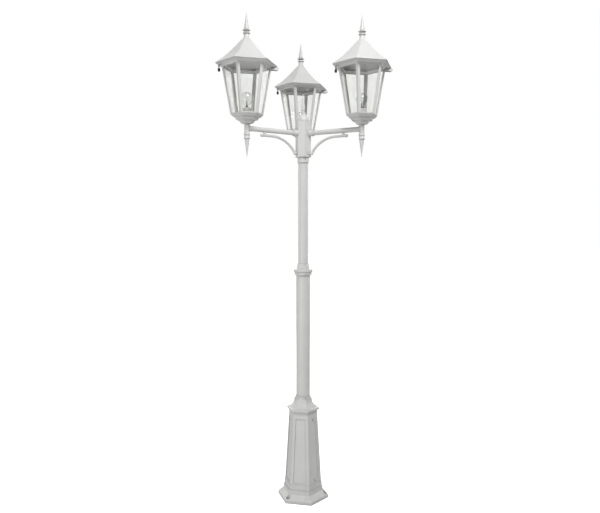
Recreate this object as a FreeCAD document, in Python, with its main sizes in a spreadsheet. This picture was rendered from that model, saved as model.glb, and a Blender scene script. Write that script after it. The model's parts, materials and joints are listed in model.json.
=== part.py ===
import FreeCAD, Part
import math
import os
import re
import Sketcher

# Triple head lamp post: a hexagonal pedestal, a round stepped pole, a hexagonal hub with three arms
# and a six-sided lantern on the end of each arm. Millimetres, +Z up, origin on the ground at the
# centre of the anchor bolt circle. Angles are in degrees, counted about +Z from +X.
# "Corner" sizes of hexagons run from the axis to a corner. Heights are built up from lengths, so
# what stands on a piece moves with it.

DIMENSIONS = {
    # Foot flange and stepped plinth of the pedestal
    "base_turn": -14.0,
    "flange_corner": 132.0,
    "flange_edge": 15.0,
    "skirt_corner": 103.5,
    "skirt_height": 38.0,
    "plinth_corner": 102.0,
    "plinth_height": 58.0,
    "step_corner": 98.0,
    "step_height": 84.0,
    # Tapered pedestal body
    "body_foot_corner": 95.0,
    "body_top_corner": 73.0,
    "body_height": 455.0,
    "body_wall": 8.0,
    "deck_thickness": 10.0,
    # Anchor holes at three of the six corners
    "anchor_circle": 226.0,
    "anchor_hole": 13.0,
    "anchor_notch": 22.0,
    "anchor_seat": 12.0,
    # Sunk panels of the pedestal faces
    "panel_margin": 13.0,
    "panel_depth": 3.0,
    "panel_low": 92.0,
    "panel_high": 417.0,
    # Service cover in one pedestal face
    "cover_thickness": 4.0,
    "cover_gap": 0.5,
    "cover_ledge": 8.0,
    "cover_screw_ledge": 16.0,
    "cover_frame": 9.0,
    "cover_sink": 1.5,
    "cover_screw": 4.0,
    "cover_screw_head": 8.0,
    "cover_screw_head_height": 2.5,
    "cover_screw_grip": 8.0,
    # Terminal block behind the cover
    "terminal_pad_reach": 24.0,
    "terminal_width": 24.0,
    "terminal_depth": 20.0,
    "terminal_length": 64.0,
    "terminal_level": 200.0,
    "terminal_bore": 6.0,
    # Pedestal cap
    "cap_corner": 84.0,
    "cap_rim_height": 11.0,
    "cap_flare_corner": 80.0,
    "cap_low_corner": 58.1,
    "cap_low_rise": 12.2,
    "cap_mid_corner": 49.1,
    "cap_mid_rise": 29.1,
    "cap_flare_height": 47.0,
    "cap_collar": 79.0,
    "cap_collar_height": 70.0,
    "cap_hollow": 60.0,
    # Lower pole and its socket in the pedestal
    "lower_pole": 70.0,
    "lower_pole_wall": 3.0,
    "lower_pole_length": 853.0,
    "pole_socket_depth": 150.0,
    "pole_socket_wall": 7.0,
    "socket_ledge_height": 8.0,
    "socket_ledge": 5.0,
    "seat_gap": 0.2,
    # Joint ring between the two pole tubes
    "ring_skirt": 85.0,
    "ring_skirt_drop": 13.0,
    "ring_skirt_bevel": 2.0,
    "ring_skirt_bend": 8.0,
    "ring_wire_ledge": 1.0,
    "ring_rim": 95.6,
    "ring_rim_rise": 6.0,
    "ring_rim_edge": 8.0,
    "ring_shoulder": 66.0,
    "ring_shoulder_rise": 20.0,
    "ring_collar": 56.0,
    "ring_collar_rise": 45.0,
    "ring_spigot_depth": 90.0,
    "ring_spigot_floor": 6.0,
    # Upper pole
    "upper_pole": 50.0,
    "upper_pole_wall": 3.0,
    "upper_pole_length": 732.0,
    # Hub
    "hub_turn": -14.0,
    "hub_corner": 40.0,
    "hub_height": 177.0,
    "hub_neck": 58.0,
    "hub_neck_height": 28.0,
    "hub_socket_depth": 88.0,
    "hub_socket_floor": 6.0,
    "hub_wire_ledge": 1.0,
    "hub_cavity": 60.0,
    "hub_groove": 3.0,
    "hub_groove_margin": 8.0,
    "arm_boss": 32.0,
    "arm_boss_length": 24.0,
    # Hub cap and its finial
    "hub_cap_bead": 67.0,
    "hub_cap_bead_height": 5.0,
    "hub_cap_dome": 62.0,
    "hub_cap_rise": 41.0,
    "hub_cap_crown": 20.0,
    "hub_cap_bend": 33.0,
    "hub_cap_spigot": 8.0,
    "hub_finial_neck": 15.0,
    "hub_finial_collar": 24.0,
    "hub_finial_collar_edge": 4.0,
    "hub_finial_neck_rise": 9.0,
    "hub_finial_neck_height": 5.0,
    "hub_finial_bead": 21.0,
    "hub_finial_bead_edge": 5.0,
    "hub_finial_rise": 24.0,
    "hub_finial_slope": 3.0,
    "hub_spike": 19.0,
    "hub_spike_ledge": 2.0,
    "hub_spike_height": 76.0,
    # Arms
    "arm_turn": -30.0,
    "arm_rise": 146.0,
    "arm_reach": 317.0,
    "arm_tube": 24.0,
    "arm_wall": 2.5,
    "arm_inset": 3.0,
    # Curved braces below the arms
    "brace_bar": 13.0,
    "brace_end": 17.0,
    "brace_tip": 237.0,
    "brace_bend_start": 179.0,
    "brace_bend": 150.0,
    "brace_drop": 26.0,
    "brace_foot_drop": 101.0,
    "brace_stub": 14.0,
    "brace_strut": 220.0,
    # Stem and drop finial at the arm's end
    "stem": 26.0,
    "stem_rise": 22.0,
    "stem_drop": 24.0,
    "stem_thread": 10.0,
    "stem_thread_rise": 32.0,
    "stem_wire_bore": 6.0,
    "drop_collar": 32.0,
    "drop_collar_height": 10.0,
    "drop_groove": 27.0,
    "drop_groove_height": 7.0,
    "drop_bevel": 3.0,
    "drop_spike": 23.0,
    "drop_spike_ledge": 1.0,
    "drop_spike_bevel": 2.0,
    "drop_spike_height": 82.0,
    # Stepped dish below each lantern
    "lantern_turn": 12.0,
    "dish_foot_corner": 27.0,
    "dish_tier_corner": 40.0,
    "dish_tier_height": 16.0,
    "dish_band_corner": 51.0,
    "dish_band_top_corner": 57.0,
    "dish_band_height": 12.0,
    "dish_lip_corner": 62.0,
    "dish_lip_height": 14.0,
    "dish_cavity": 84.0,
    "dish_floor": 19.0,
    "stem_nut": 19.6,
    "stem_nut_height": 7.0,
    # Lampholder and lamp
    "holder_foot": 26.0,
    "holder_foot_height": 8.0,
    "holder_body": 41.0,
    "holder_height": 48.0,
    "holder_floor": 18.0,
    "lamp_cap": 26.6,
    "lamp_cap_gap": 0.4,
    "lamp_cap_height": 29.0,
    "lamp_cap_bevel": 4.0,
    "lamp_contact": 13.3,
    "lamp_neck_bend": 40.0,
    "lamp_neck_height": 22.0,
    "lamp_bulb": 60.0,
    "lamp_glass": 1.0,
    "lamp_height": 76.0,
    # Lantern cage and its panes
    "cage_foot_corner": 79.0,
    "cage_top_corner": 119.0,
    "cage_height": 222.0,
    "cage_wall": 3.5,
    "cage_stile": 11.0,
    "cage_sill": 4.0,
    "cage_head": 4.0,
    "pane_thickness": 3.0,
    "pane_gap": 0.5,
    "pane_margin": 3.0,
    # Crown ring of the cage
    "crown_height": 11.0,
    "crown_low_corner": 121.5,
    "crown_low_rise": 3.5,
    "crown_mid_corner": 129.5,
    "crown_mid_rise": 6.5,
    "crown_corner": 145.0,
    "crown_edge": 3.0,
    "crown_opening": 108.0,
    # Roof
    "roof_gap": 0.3,
    "roof_corner": 149.0,
    "roof_edge": 4.0,
    "roof_low_corner": 116.0,
    "roof_low_rise": 23.0,
    "roof_mid_corner": 87.0,
    "roof_mid_rise": 48.0,
    "roof_high_corner": 57.0,
    "roof_high_rise": 80.0,
    "roof_top_corner": 25.0,
    "roof_rise": 113.0,
    "roof_wall": 9.0,
    "roof_top_wall": 12.0,
    # Roof finial
    "bell": 43.0,
    "bell_waist": 24.0,
    "bell_height": 28.0,
    "bell_bend": 40.0,
    "finial_collar": 36.0,
    "finial_collar_ledge": 2.0,
    "finial_collar_bevel": 2.0,
    "finial_collar_slope": 3.0,
    "finial_collar_height": 8.0,
    "finial_neck": 19.0,
    "finial_neck_height": 7.0,
    "finial_flange": 38.0,
    "finial_flange_height": 4.0,
    "finial_flange_bevel": 1.0,
    "finial_spike": 24.0,
    "finial_spike_ledge": 1.0,
    "finial_spike_height": 80.7,
    "spike_tip": 2.4,
    "spike_shoulder": 6.0,
    # Roof hinge
    "hinge_reach": 148.0,
    "hinge_drop": 11.0,
    "hinge_knuckle": 12.0,
    "hinge_lug_width": 10.0,
    "hinge_side_gap": 0.5,
    "hinge_ear_width": 5.0,
    "hinge_ear_inset": 36.0,
    "hinge_pin": 4.0,
    "hinge_pin_overhang": 1.0,
    "hinge_running_gap": 0.06,
    "hinge_lug_inset": 6.0,
    "hinge_notch_gap": 3.0,
    "hinge_web_drop": 1.0,
    # Thumb screw that holds the roof shut
    "catch_reach": 131.0,
    "catch_screw": 5.0,
    "catch_running_gap": 0.05,
    "catch_boss": 12.0,
    "catch_boss_height": 13.0,
    "catch_tip_gap": 0.6,
    "catch_travel": 10.0,
    "catch_knob": 12.0,
    "catch_knob_gap": 0.3,
    "catch_knob_height": 15.0,
    "catch_flute": 3.0,
    "catch_flute_margin": 2.0,
    "catch_roof_gap": 0.5,
    "catch_roof_depth": 12.0,
    # Grub screws
    "grub": 6.0,
    "grub_turn": -73.0,
    "grub_length": 3.0,
}

# Heights and places that follow from the lengths above.
LEVELS = {
    "pole_foot": "body_height - pole_socket_depth",
    "joint": "pole_foot + lower_pole_length",
    "upper_foot": "joint - ring_spigot_depth",
    "upper_top": "upper_foot + upper_pole_length",
    "hub_foot": "upper_top - hub_socket_depth",
    "hub_low": "hub_foot + hub_neck_height",
    "hub_top": "hub_low + hub_height",
    "hub_crown": "hub_top + hub_cap_rise",
    "arm": "hub_foot + arm_rise",
    "stem_foot": "arm - stem_drop",
    "dish_foot": "arm + stem_rise",
    "dish_floor_level": "dish_foot + dish_floor",
    "holder_foot_level": "dish_floor_level + stem_nut_height",
    "holder_top": "holder_foot_level + holder_height",
    "lamp_cap_foot": "holder_foot_level + holder_floor",
    "lamp_foot": "lamp_cap_foot + lamp_cap_height",
    "lamp_top": "lamp_foot + lamp_height",
    "lamp_centre": "lamp_top - lamp_bulb / 2",
    "dish_top": "dish_foot + dish_tier_height + dish_band_height + dish_lip_height",
    "crown_foot": "dish_top + cage_height",
    "crown_top": "crown_foot + crown_height",
    "roof_foot": "crown_top + roof_gap",
    "roof_brim": "roof_foot + roof_edge",
    "seam": "roof_brim + roof_rise",
    "hinge_level": "crown_top - hinge_drop",
    "catch_tip": "roof_foot - catch_tip_gap",
    "catch_boss_foot": "crown_top - catch_boss_height",
    "catch_knob_top": "catch_boss_foot - catch_travel - catch_knob_gap",
    "body_taper": "(body_top_corner - body_foot_corner) / (body_height - step_height)",
    "panel_low_reach": "(body_foot_corner + body_taper * (panel_low - step_height)) * face",
    "cage_taper": "(cage_top_corner - cage_foot_corner) / cage_height",
    "cap_grub_level": "body_height + cap_collar_height - grub",
    "ring_grub_level": "joint - ring_skirt_drop + grub",
    "collar_grub_level": "joint + ring_collar_rise - grub",
    "hub_grub_level": "hub_foot + hub_neck_height / 2",
    "face": "cos(30)",
}

HEADS = {
    "right": "arm_turn",
    "rear": "arm_turn + 120",
    "left": "arm_turn + 240",
}
FACES = [30 + 60 * count for count in range(6)]
CORNERS = [60 * count for count in range(6)]
SERVICE_FACE = 330
TERMINAL_FACE = 150
OVERCUT = 5.0

UP = FreeCAD.Vector(0, 0, 1)
LAY_ALONG_X = FreeCAD.Rotation(FreeCAD.Vector(0, 1, 0), 90)
LAY_ALONG_Y = FreeCAD.Rotation(FreeCAD.Vector(1, 0, 0), -90)
FACE_OUTWARDS = FreeCAD.Rotation(FreeCAD.Vector(1, 1, 1), 120)

doc = FreeCAD.newDocument("triple_head_lamp_post")
sheet = doc.addObject("Spreadsheet::Sheet", "dims")
parts = []


def fill_sheet():
    """One row per driving dimension: its name, and its value under the same name."""
    for row, (name, size) in enumerate(DIMENSIONS.items(), start=1):
        sheet.set("A%d" % row, name.replace("_", " "))
        sheet.set("B%d" % row, str(size))
        sheet.setAlias("B%d" % row, name)
    doc.recompute()


def bind(formula):
    """The formula with its names of sizes and levels turned into references to the sheet."""
    def reference(match):
        word = match.group(0)
        if word in LEVELS:
            return "(" + bind(LEVELS[word]) + ")"
        return "dims." + word if word in DIMENSIONS else word
    return re.sub(r"[a-z_][a-z0-9_]*", reference, str(formula))


def value(formula):
    """The number that a formula comes to."""
    result = sheet.evalExpression(bind(formula))
    return float(getattr(result, "Value", result))


def make(kind, label, **formulas):
    """A document object with the named properties bound to formulas."""
    item = doc.addObject(kind, label)
    for name, formula in formulas.items():
        item.setExpression(name, bind(formula))
    return item


def move(item, x=None, y=None, z=None, turn=None):
    """Bind the object's place, and its turn about the vertical."""
    for axis, formula in (("x", x), ("y", y), ("z", z)):
        if formula is not None:
            item.setExpression("Placement.Base." + axis, bind(formula))
    if turn is not None:
        item.setExpression("Placement.Rotation.Angle", bind(turn))
    return item


def keep(item, label, head=None, turn=None):
    """Name a finished sub-part and put it in its place on the post."""
    item.Label = label
    if head is not None:
        move(item, x="arm_reach * cos(%s)" % head, y="arm_reach * sin(%s)" % head)
    if turn is not None:
        move(item, turn=turn)
    parts.append(item)


# Solids

def disc(label, diameter, low, high, x="0", y="0"):
    """Upright cylinder between two heights."""
    item = make("Part::Cylinder", label, Radius="(%s) / 2" % diameter, Height="(%s) - (%s)" % (high, low))
    return move(item, x=x, y=y, z=low)


def block(label, x, y, z):
    """Box from three (low, high) pairs of formulas."""
    length, width, height = ("(%s) - (%s)" % (high, low) for low, high in (x, y, z))
    item = make("Part::Box", label, Length=length, Width=width, Height=height)
    return move(item, x=x[0], y=y[0], z=z[0])


def bar(label, diameter, near, far, level, turn="0"):
    """Cylinder that lies along a horizontal radius at an angle, between two distances from the axis."""
    item = make("Part::Cylinder", label, Radius="(%s) / 2" % diameter, Height="(%s) - (%s)" % (far, near))
    item.Placement = FreeCAD.Placement(FreeCAD.Vector(), FreeCAD.Rotation(UP, value(turn)) * LAY_ALONG_X)
    return move(item, x="(%s) * cos(%s)" % (near, turn), y="(%s) * sin(%s)" % (near, turn), z=level)


def cross_bar(label, diameter, left, right, x, level):
    """Cylinder parallel to Y."""
    item = make("Part::Cylinder", label, Radius="(%s) / 2" % diameter, Height="(%s) - (%s)" % (right, left))
    item.Placement = FreeCAD.Placement(FreeCAD.Vector(), LAY_ALONG_Y)
    return move(item, x=x, y=left, z=level)


def hex_loft(label, sections, smooth=False):
    """Six-sided solid through level hexagons, given as (corner, height) pairs."""
    rings = []
    for count, (corner, height) in enumerate(sections):
        ring = make("Part::RegularPolygon", "%s_section_%d" % (label, count), Circumradius=corner)
        ring.Polygon = 6
        rings.append(move(ring, z=height))
    loft = doc.addObject("Part::Loft", label)
    loft.Sections = rings
    loft.Solid = True
    loft.Ruled = not smooth
    return loft


def panel(label, turn, low, high, half_widths, inner, outer):
    """Tapered panel on a leaning face. The pairs give its half width and its distances from the
    axis at the low and the high level."""
    item = make(
        "Part::Wedge", label,
        Ymin="0", Ymax="(%s) - (%s)" % (high, low),
        Xmin="-(%s)" % half_widths[0], Xmax=half_widths[0],
        X2min="-(%s)" % half_widths[1], X2max=half_widths[1],
        Zmin=inner[0], Z2min=inner[1],
        Zmax=outer[0], Z2max=outer[1],
    )
    item.Placement = FreeCAD.Placement(FreeCAD.Vector(), FreeCAD.Rotation(UP, turn) * FACE_OUTWARDS)
    return move(item, z=low)


def join(label, items):
    """One solid from overlapping or touching ones."""
    item = doc.addObject("Part::MultiFuse", label)
    item.Shapes = items
    return item


def overlap(label, items):
    """The space that all of the solids share."""
    item = doc.addObject("Part::MultiCommon", label)
    item.Shapes = items
    return item


def cut(label, base, tools):
    """The base without the space of the tools."""
    item = doc.addObject("Part::Cut", label)
    item.Base = base
    item.Tool = tools[0] if len(tools) == 1 else join(label + "_tools", tools)
    return item


def group(label, items):
    """Separate solids kept as one sub-part."""
    item = doc.addObject("Part::Compound", label)
    item.Links = items
    return item


# Sketched solids

def origin_plane(body, role):
    return next(plane for plane in body.Origin.OriginFeatures if plane.Role == role)


def sketch_on(body, role, label):
    sketch = body.newObject("Sketcher::SketchObject", label)
    sketch.AttachmentSupport = [(origin_plane(body, role), "")]
    sketch.MapMode = "FlatFace"
    return sketch


def arc_between(start, end, radius):
    """Arc of the given radius. It turns left from start to end where the radius is positive, and
    right where it is negative. Also says whether its own start is the given start."""
    span = math.dist(start, end)
    offset = math.sqrt(radius * radius - span * span / 4) * (1 if radius > 0 else -1)
    across, along = end[0] - start[0], end[1] - start[1]
    centre = (
        (start[0] + end[0]) / 2 - offset * along / span,
        (start[1] + end[1]) / 2 + offset * across / span,
    )
    angles = [math.atan2(point[1] - centre[1], point[0] - centre[0]) for point in (start, end)]
    circle = Part.Circle(FreeCAD.Vector(centre[0], centre[1], 0), UP, abs(radius))
    if radius > 0:
        return Part.ArcOfCircle(circle, angles[0], angles[1]), True
    return Part.ArcOfCircle(circle, angles[1], angles[0]), False


def place_point(sketch, name, curve, end, point, formulas):
    """Hold one end of a curve at its radius and height, or on an axis where that is nought."""
    axes = (("DistanceX", -2, "radius"), ("DistanceY", -1, "height"))
    for (kind, axis, word), coordinate, formula in zip(axes, point, formulas):
        if abs(coordinate) < 1e-9:
            sketch.addConstraint(Sketcher.Constraint("PointOnObject", curve, end, axis))
            continue
        index = sketch.addConstraint(Sketcher.Constraint(kind, -1, 1, curve, end, coordinate))
        sketch.renameConstraint(index, "%s_%s" % (name, word))
        sketch.setExpression("Constraints.%s_%s" % (name, word), bind(formula))


def draw(sketch, outline, closed=True):
    """Outline of lines and arcs. Each point is (radius, height), and a third entry is the radius of
    the arc that leads to the next point."""
    points = [(value(entry[0]), value(entry[1])) for entry in outline]
    pairs = list(zip(range(len(points)), range(1, len(points))))
    if closed:
        pairs.append((len(points) - 1, 0))
    ends = []
    for curve, (first, last) in enumerate(pairs):
        forward = True
        if len(outline[first]) > 2:
            arc, forward = arc_between(points[first], points[last], value(outline[first][2]))
            sketch.addGeometry(arc, False)
        else:
            corners = [FreeCAD.Vector(points[i][0], points[i][1], 0) for i in (first, last)]
            sketch.addGeometry(Part.LineSegment(*corners), False)
        ends.append((1, 2) if forward else (2, 1))
        if curve > 0:
            meeting = (curve - 1, ends[-2][1], curve, ends[-1][0])
            sketch.addConstraint(Sketcher.Constraint("Coincident", *meeting))
    if closed:
        last = len(pairs) - 1
        sketch.addConstraint(Sketcher.Constraint("Coincident", last, ends[last][1], 0, ends[0][0]))
    for curve, (first, last) in enumerate(pairs):
        place_point(sketch, "point%d" % first, curve, ends[curve][0], points[first], outline[first])
        if len(outline[first]) > 2:
            size = abs(value(outline[first][2]))
            index = sketch.addConstraint(Sketcher.Constraint("Radius", curve, size))
            sketch.renameConstraint(index, "bend%d" % first)
            sketch.setExpression("Constraints.bend%d" % first, bind("abs(%s)" % outline[first][2]))
    if not closed:
        last = len(points) - 1
        place_point(sketch, "point%d" % last, len(pairs) - 1, ends[-1][1], points[last], outline[last])


def turned(label, outline):
    """Body turned about the vertical from half of its section."""
    body = doc.addObject("PartDesign::Body", label)
    sketch = sketch_on(body, "XZ_Plane", label + "_section")
    draw(sketch, outline)
    turning = body.newObject("PartDesign::Revolution", label + "_turning")
    turning.Profile = sketch
    turning.ReferenceAxis = (sketch, ["V_Axis"])
    turning.Angle = 360
    body.Tip = turning
    return body


def tube(label, diameter, wall, low, high):
    """Round tube, as a turned section."""
    inner = "(%s) / 2 - (%s)" % (diameter, wall)
    outer = "(%s) / 2" % diameter
    return turned(label, [(inner, low), (outer, low), (outer, high), (inner, high)])


# Pedestal

def pedestal_outside(label):
    foot = hex_loft(label + "_foot", [
        ("flange_corner", "0"),
        ("flange_corner", "flange_edge"),
        ("skirt_corner", "skirt_height"),
        ("plinth_corner", "plinth_height"),
    ])
    step = hex_loft(label + "_step", [("step_corner", "plinth_height"), ("step_corner", "step_height")])
    body = hex_loft(label + "_body", [
        ("body_foot_corner", "step_height"), ("body_top_corner", "body_height")])
    return join(label, [foot, step, body])


def pedestal_inside(label):
    wall = " - body_wall / face"
    return hex_loft(label, [
        ("body_foot_corner" + wall, "0"),
        ("body_foot_corner" + wall, "step_height"),
        ("body_top_corner" + wall, "body_height - deck_thickness"),
    ])


def body_corner(level):
    """Corner size of the pedestal body at a level."""
    return "(body_foot_corner + body_taper * (%s - step_height))" % level


def face_panel(label, turn, inset, sunk, proud, low="panel_low", high="panel_high"):
    """Panel on the pedestal's face, inset from the panel's outline, from a depth below the face to
    a height above it."""
    corners = [body_corner(level) for level in (low, high)]
    halves = ["%s / 2 - panel_margin - (%s)" % (corner, inset) for corner in corners]
    inner = ["%s * face - (%s)" % (corner, sunk) for corner in corners]
    outer = ["%s * face + (%s)" % (corner, proud) for corner in corners]
    return panel(label, turn, low, high, halves, inner, outer)


def service_window(label):
    """Rebate for the cover, and the opening inside it with a wide ledge for the screws."""
    rebate = face_panel(label + "_rebate", SERVICE_FACE, "0", "cover_thickness", OVERCUT)
    low, high = "panel_low + cover_screw_ledge", "panel_high - cover_screw_ledge"
    opening = face_panel(
        label + "_opening", SERVICE_FACE, "cover_ledge", "body_wall + %s" % OVERCUT, OVERCUT, low, high)
    return [rebate, opening]


def cover_screws_at(label, diameter, inner, outer):
    """Two rods square to the service face, near the low and the high end of the cover."""
    lean = math.degrees(math.atan(value("-body_taper * face")))
    levels = {
        "low": "panel_low + cover_screw_ledge / 2",
        "high": "panel_high - cover_screw_ledge / 2",
    }
    rods = []
    for name, level in levels.items():
        distance = body_corner(level) + " * face"
        item = make(
            "Part::Cylinder", "%s_%s" % (label, name),
            Radius="(%s) / 2" % diameter, Height="(%s) - (%s)" % (outer, inner))
        square = FreeCAD.Rotation(FreeCAD.Vector(0, 1, 0), 90 - lean)
        item.Placement = FreeCAD.Placement(FreeCAD.Vector(), FreeCAD.Rotation(UP, SERVICE_FACE) * square)
        reach = "(%s + (%s) * cos(%f))" % (distance, inner, lean)
        move(
            item, x="%s * cos(%d)" % (reach, SERVICE_FACE), y="%s * sin(%d)" % (reach, SERVICE_FACE),
            z="%s + (%s) * sin(%f)" % (level, inner, lean))
        rods.append(item)
    return rods


def anchor_cuts():
    """Bolt hole and spanner notch at every second corner."""
    cuts = []
    for count in range(3):
        x = "anchor_circle / 2 * cos(%d)" % (120 * count)
        y = "anchor_circle / 2 * sin(%d)" % (120 * count)
        cuts.append(disc("anchor_hole_%d" % count, "anchor_hole", "-1", "anchor_seat + 1", x, y))
        cuts.append(disc("anchor_notch_%d" % count, "anchor_notch", "anchor_seat", "plinth_height", x, y))
    return cuts


def terminal_pad():
    """Pad on the inner wall opposite the service window, with an upright mounting face."""
    body = block(
        "terminal_pad_block", ("panel_low_reach - body_wall - terminal_pad_reach", "panel_low_reach"),
        ("-terminal_width / 2", "terminal_width / 2"),
        ("terminal_level", "terminal_level + terminal_length"))
    turned_block = group("terminal_pad_turned", [body])
    turned_block.Placement.Rotation = FreeCAD.Rotation(UP, TERMINAL_FACE)
    return overlap("terminal_pad", [turned_block, pedestal_inside("terminal_pad_limit")])


def base_casting():
    """Hollow hexagonal pedestal with a socket for the pole hanging from its deck."""
    shell = cut("base_shell", pedestal_outside("base_outside"), [pedestal_inside("base_inside")])
    socket = disc(
        "pole_socket", "lower_pole + 2 * (seat_gap + pole_socket_wall)",
        "pole_foot - socket_ledge_height", "body_height - deck_thickness")
    solid = join("base_solid", [shell, socket, terminal_pad()])
    bore = disc("pole_bore", "lower_pole + 2 * seat_gap", "pole_foot", "body_height + 1")
    ledge = disc(
        "wire_bore", "lower_pole - 2 * (lower_pole_wall + socket_ledge)",
        "pole_foot - socket_ledge_height - 1", "pole_foot + 1")
    sunk = [
        face_panel("sunk_panel_%d" % turn, turn, "0", "panel_depth", OVERCUT)
        for turn in FACES if turn != SERVICE_FACE
    ]
    taps = cover_screws_at("cover_tap", "cover_screw", "-cover_screw_grip - 1", "1")
    tools = [bore, ledge] + sunk + service_window("service") + anchor_cuts() + taps
    keep(cut("base_casting", solid, tools), "base_casting", turn="base_turn")


def service_cover():
    """Cast cover that fills the rebate flush, with its own sunk middle."""
    low, high = "panel_low + cover_gap", "panel_high - cover_gap"
    plate = face_panel("cover_plate", SERVICE_FACE, "cover_gap", "cover_thickness", "0", low, high)
    sunk_low, sunk_high = "panel_low + cover_screw_ledge", "panel_high - cover_screw_ledge"
    sunk = face_panel("cover_sunk", SERVICE_FACE, "cover_frame", "cover_sink", OVERCUT, sunk_low, sunk_high)
    holes = cover_screws_at("cover_hole", "cover_screw + 2 * cover_gap", "-cover_thickness - 1", "1")
    keep(cut("service_cover", plate, [sunk] + holes), "service_cover", turn="base_turn")


def cover_screws():
    shanks = cover_screws_at("cover_shank", "cover_screw", "-cover_screw_grip", "0")
    heads = cover_screws_at("cover_head", "cover_screw_head", "0", "cover_screw_head_height")
    screws = [join("cover_screw_%d" % count, list(pair)) for count, pair in enumerate(zip(shanks, heads))]
    keep(group("cover_screws", screws), "cover_screws", turn="base_turn")


def terminal_block():
    """Three-way block on its pad, with a wire hole for each way."""
    face = "panel_low_reach - body_wall - terminal_pad_reach"
    body = block(
        "terminal_body", (face + " - terminal_depth", face),
        ("-terminal_width / 2", "terminal_width / 2"),
        ("terminal_level", "terminal_level + terminal_length"))
    pitch = "terminal_length / 3"
    holes = [
        cross_bar(
            "terminal_way_%d" % way, "terminal_bore", "-terminal_width", "terminal_width",
            face + " - terminal_depth / 2", "terminal_level + %s * %.1f" % (pitch, way + 0.5))
        for way in range(3)
    ]
    block_item = cut("terminal_block", body, holes)
    keep(block_item, "terminal_block", turn="base_turn + %d" % TERMINAL_FACE)


def base_cap():
    """Flared cap that closes the pedestal round the pole."""
    rim_top = "body_height + cap_rim_height"
    collar_top = "body_height + cap_collar_height"
    rim = hex_loft("cap_rim", [("cap_corner", "body_height"), ("cap_corner", rim_top)])
    flare = hex_loft("cap_flare", [
        ("cap_flare_corner", rim_top),
        ("cap_low_corner", rim_top + " + cap_low_rise"),
        ("cap_mid_corner", rim_top + " + cap_mid_rise"),
        ("cap_collar / 2 / face", rim_top + " + cap_flare_height"),
    ], smooth=True)
    collar = disc("cap_collar", "cap_collar", rim_top, collar_top)
    solid = join("cap_solid", [rim, flare, collar])
    bore = disc("cap_bore", "lower_pole + 2 * seat_gap", "body_height - 1", collar_top + " + 1")
    hollow = make(
        "Part::Cone", "cap_hollow",
        Radius1="cap_hollow", Radius2="lower_pole / 2", Height="cap_flare_height")
    move(hollow, z="body_height")
    grub = bar(
        "cap_grub_hole", "grub", "lower_pole / 2 - 1", "cap_collar / 2 + 1",
        "cap_grub_level", "grub_turn - base_turn")
    keep(cut("base_cap", solid, [bore, hollow, grub]), "base_cap", turn="base_turn")


# Pole


def poles():
    keep(tube("lower_pole", "lower_pole", "lower_pole_wall", "pole_foot", "joint"), "lower_pole")
    keep(tube("upper_pole", "upper_pole", "upper_pole_wall", "upper_foot", "upper_top"), "upper_pole")


def joint_ring():
    """Turned reducer: a skirt over the lower pole, a rim, and a spigot that the upper pole stands in."""
    spigot = "lower_pole / 2 - lower_pole_wall - seat_gap"
    foot = "upper_foot - ring_spigot_floor"
    socket = "upper_pole / 2 + seat_gap"
    wire_bore = "upper_pole / 2 - upper_pole_wall - ring_wire_ledge"
    sleeve = "lower_pole / 2 + seat_gap"
    skirt_foot = "joint - ring_skirt_drop"
    rim_low = "joint + ring_rim_rise"
    rim_high = "joint + ring_rim_rise + ring_rim_edge"
    body = turned("joint_ring_body", [
        (sleeve, skirt_foot),
        ("ring_skirt / 2 - ring_skirt_bevel", skirt_foot),
        ("ring_skirt / 2", skirt_foot + " + ring_skirt_bevel"),
        ("ring_skirt / 2", "joint", "ring_skirt_bend"),
        ("ring_rim / 2", rim_low),
        ("ring_rim / 2", rim_high),
        ("ring_shoulder / 2", "joint + ring_shoulder_rise"),
        ("ring_collar / 2", "joint + ring_collar_rise"),
        (socket, "joint + ring_collar_rise"),
        (socket, "upper_foot"),
        (wire_bore, "upper_foot"),
        (wire_bore, foot),
        (spigot, foot),
        (spigot, "joint"),
        (sleeve, "joint"),
    ])
    holes = [
        bar(
            "ring_grub_hole", "grub", "lower_pole / 2 - 1", "ring_skirt / 2 + 1",
            "ring_grub_level", "grub_turn"),
        bar(
            "collar_grub_hole", "grub", "upper_pole / 2 - 1", "ring_shoulder / 2 + 1",
            "collar_grub_level", "grub_turn"),
    ]
    keep(cut("joint_ring", body, holes), "joint_ring")


def grub_screws():
    """Set screws that bear on the pole through the castings."""
    screws = []
    poles_held = {"cap": "lower_pole", "ring": "lower_pole", "collar": "upper_pole", "hub": "upper_pole"}
    for name, pole in poles_held.items():
        near = pole + " / 2"
        level = name + "_grub_level"
        screws.append(bar("grub_" + name, "grub", near, near + " + grub_length", level, "grub_turn"))
    keep(group("grub_screws", screws), "grub_screws")


# Hub

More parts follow.
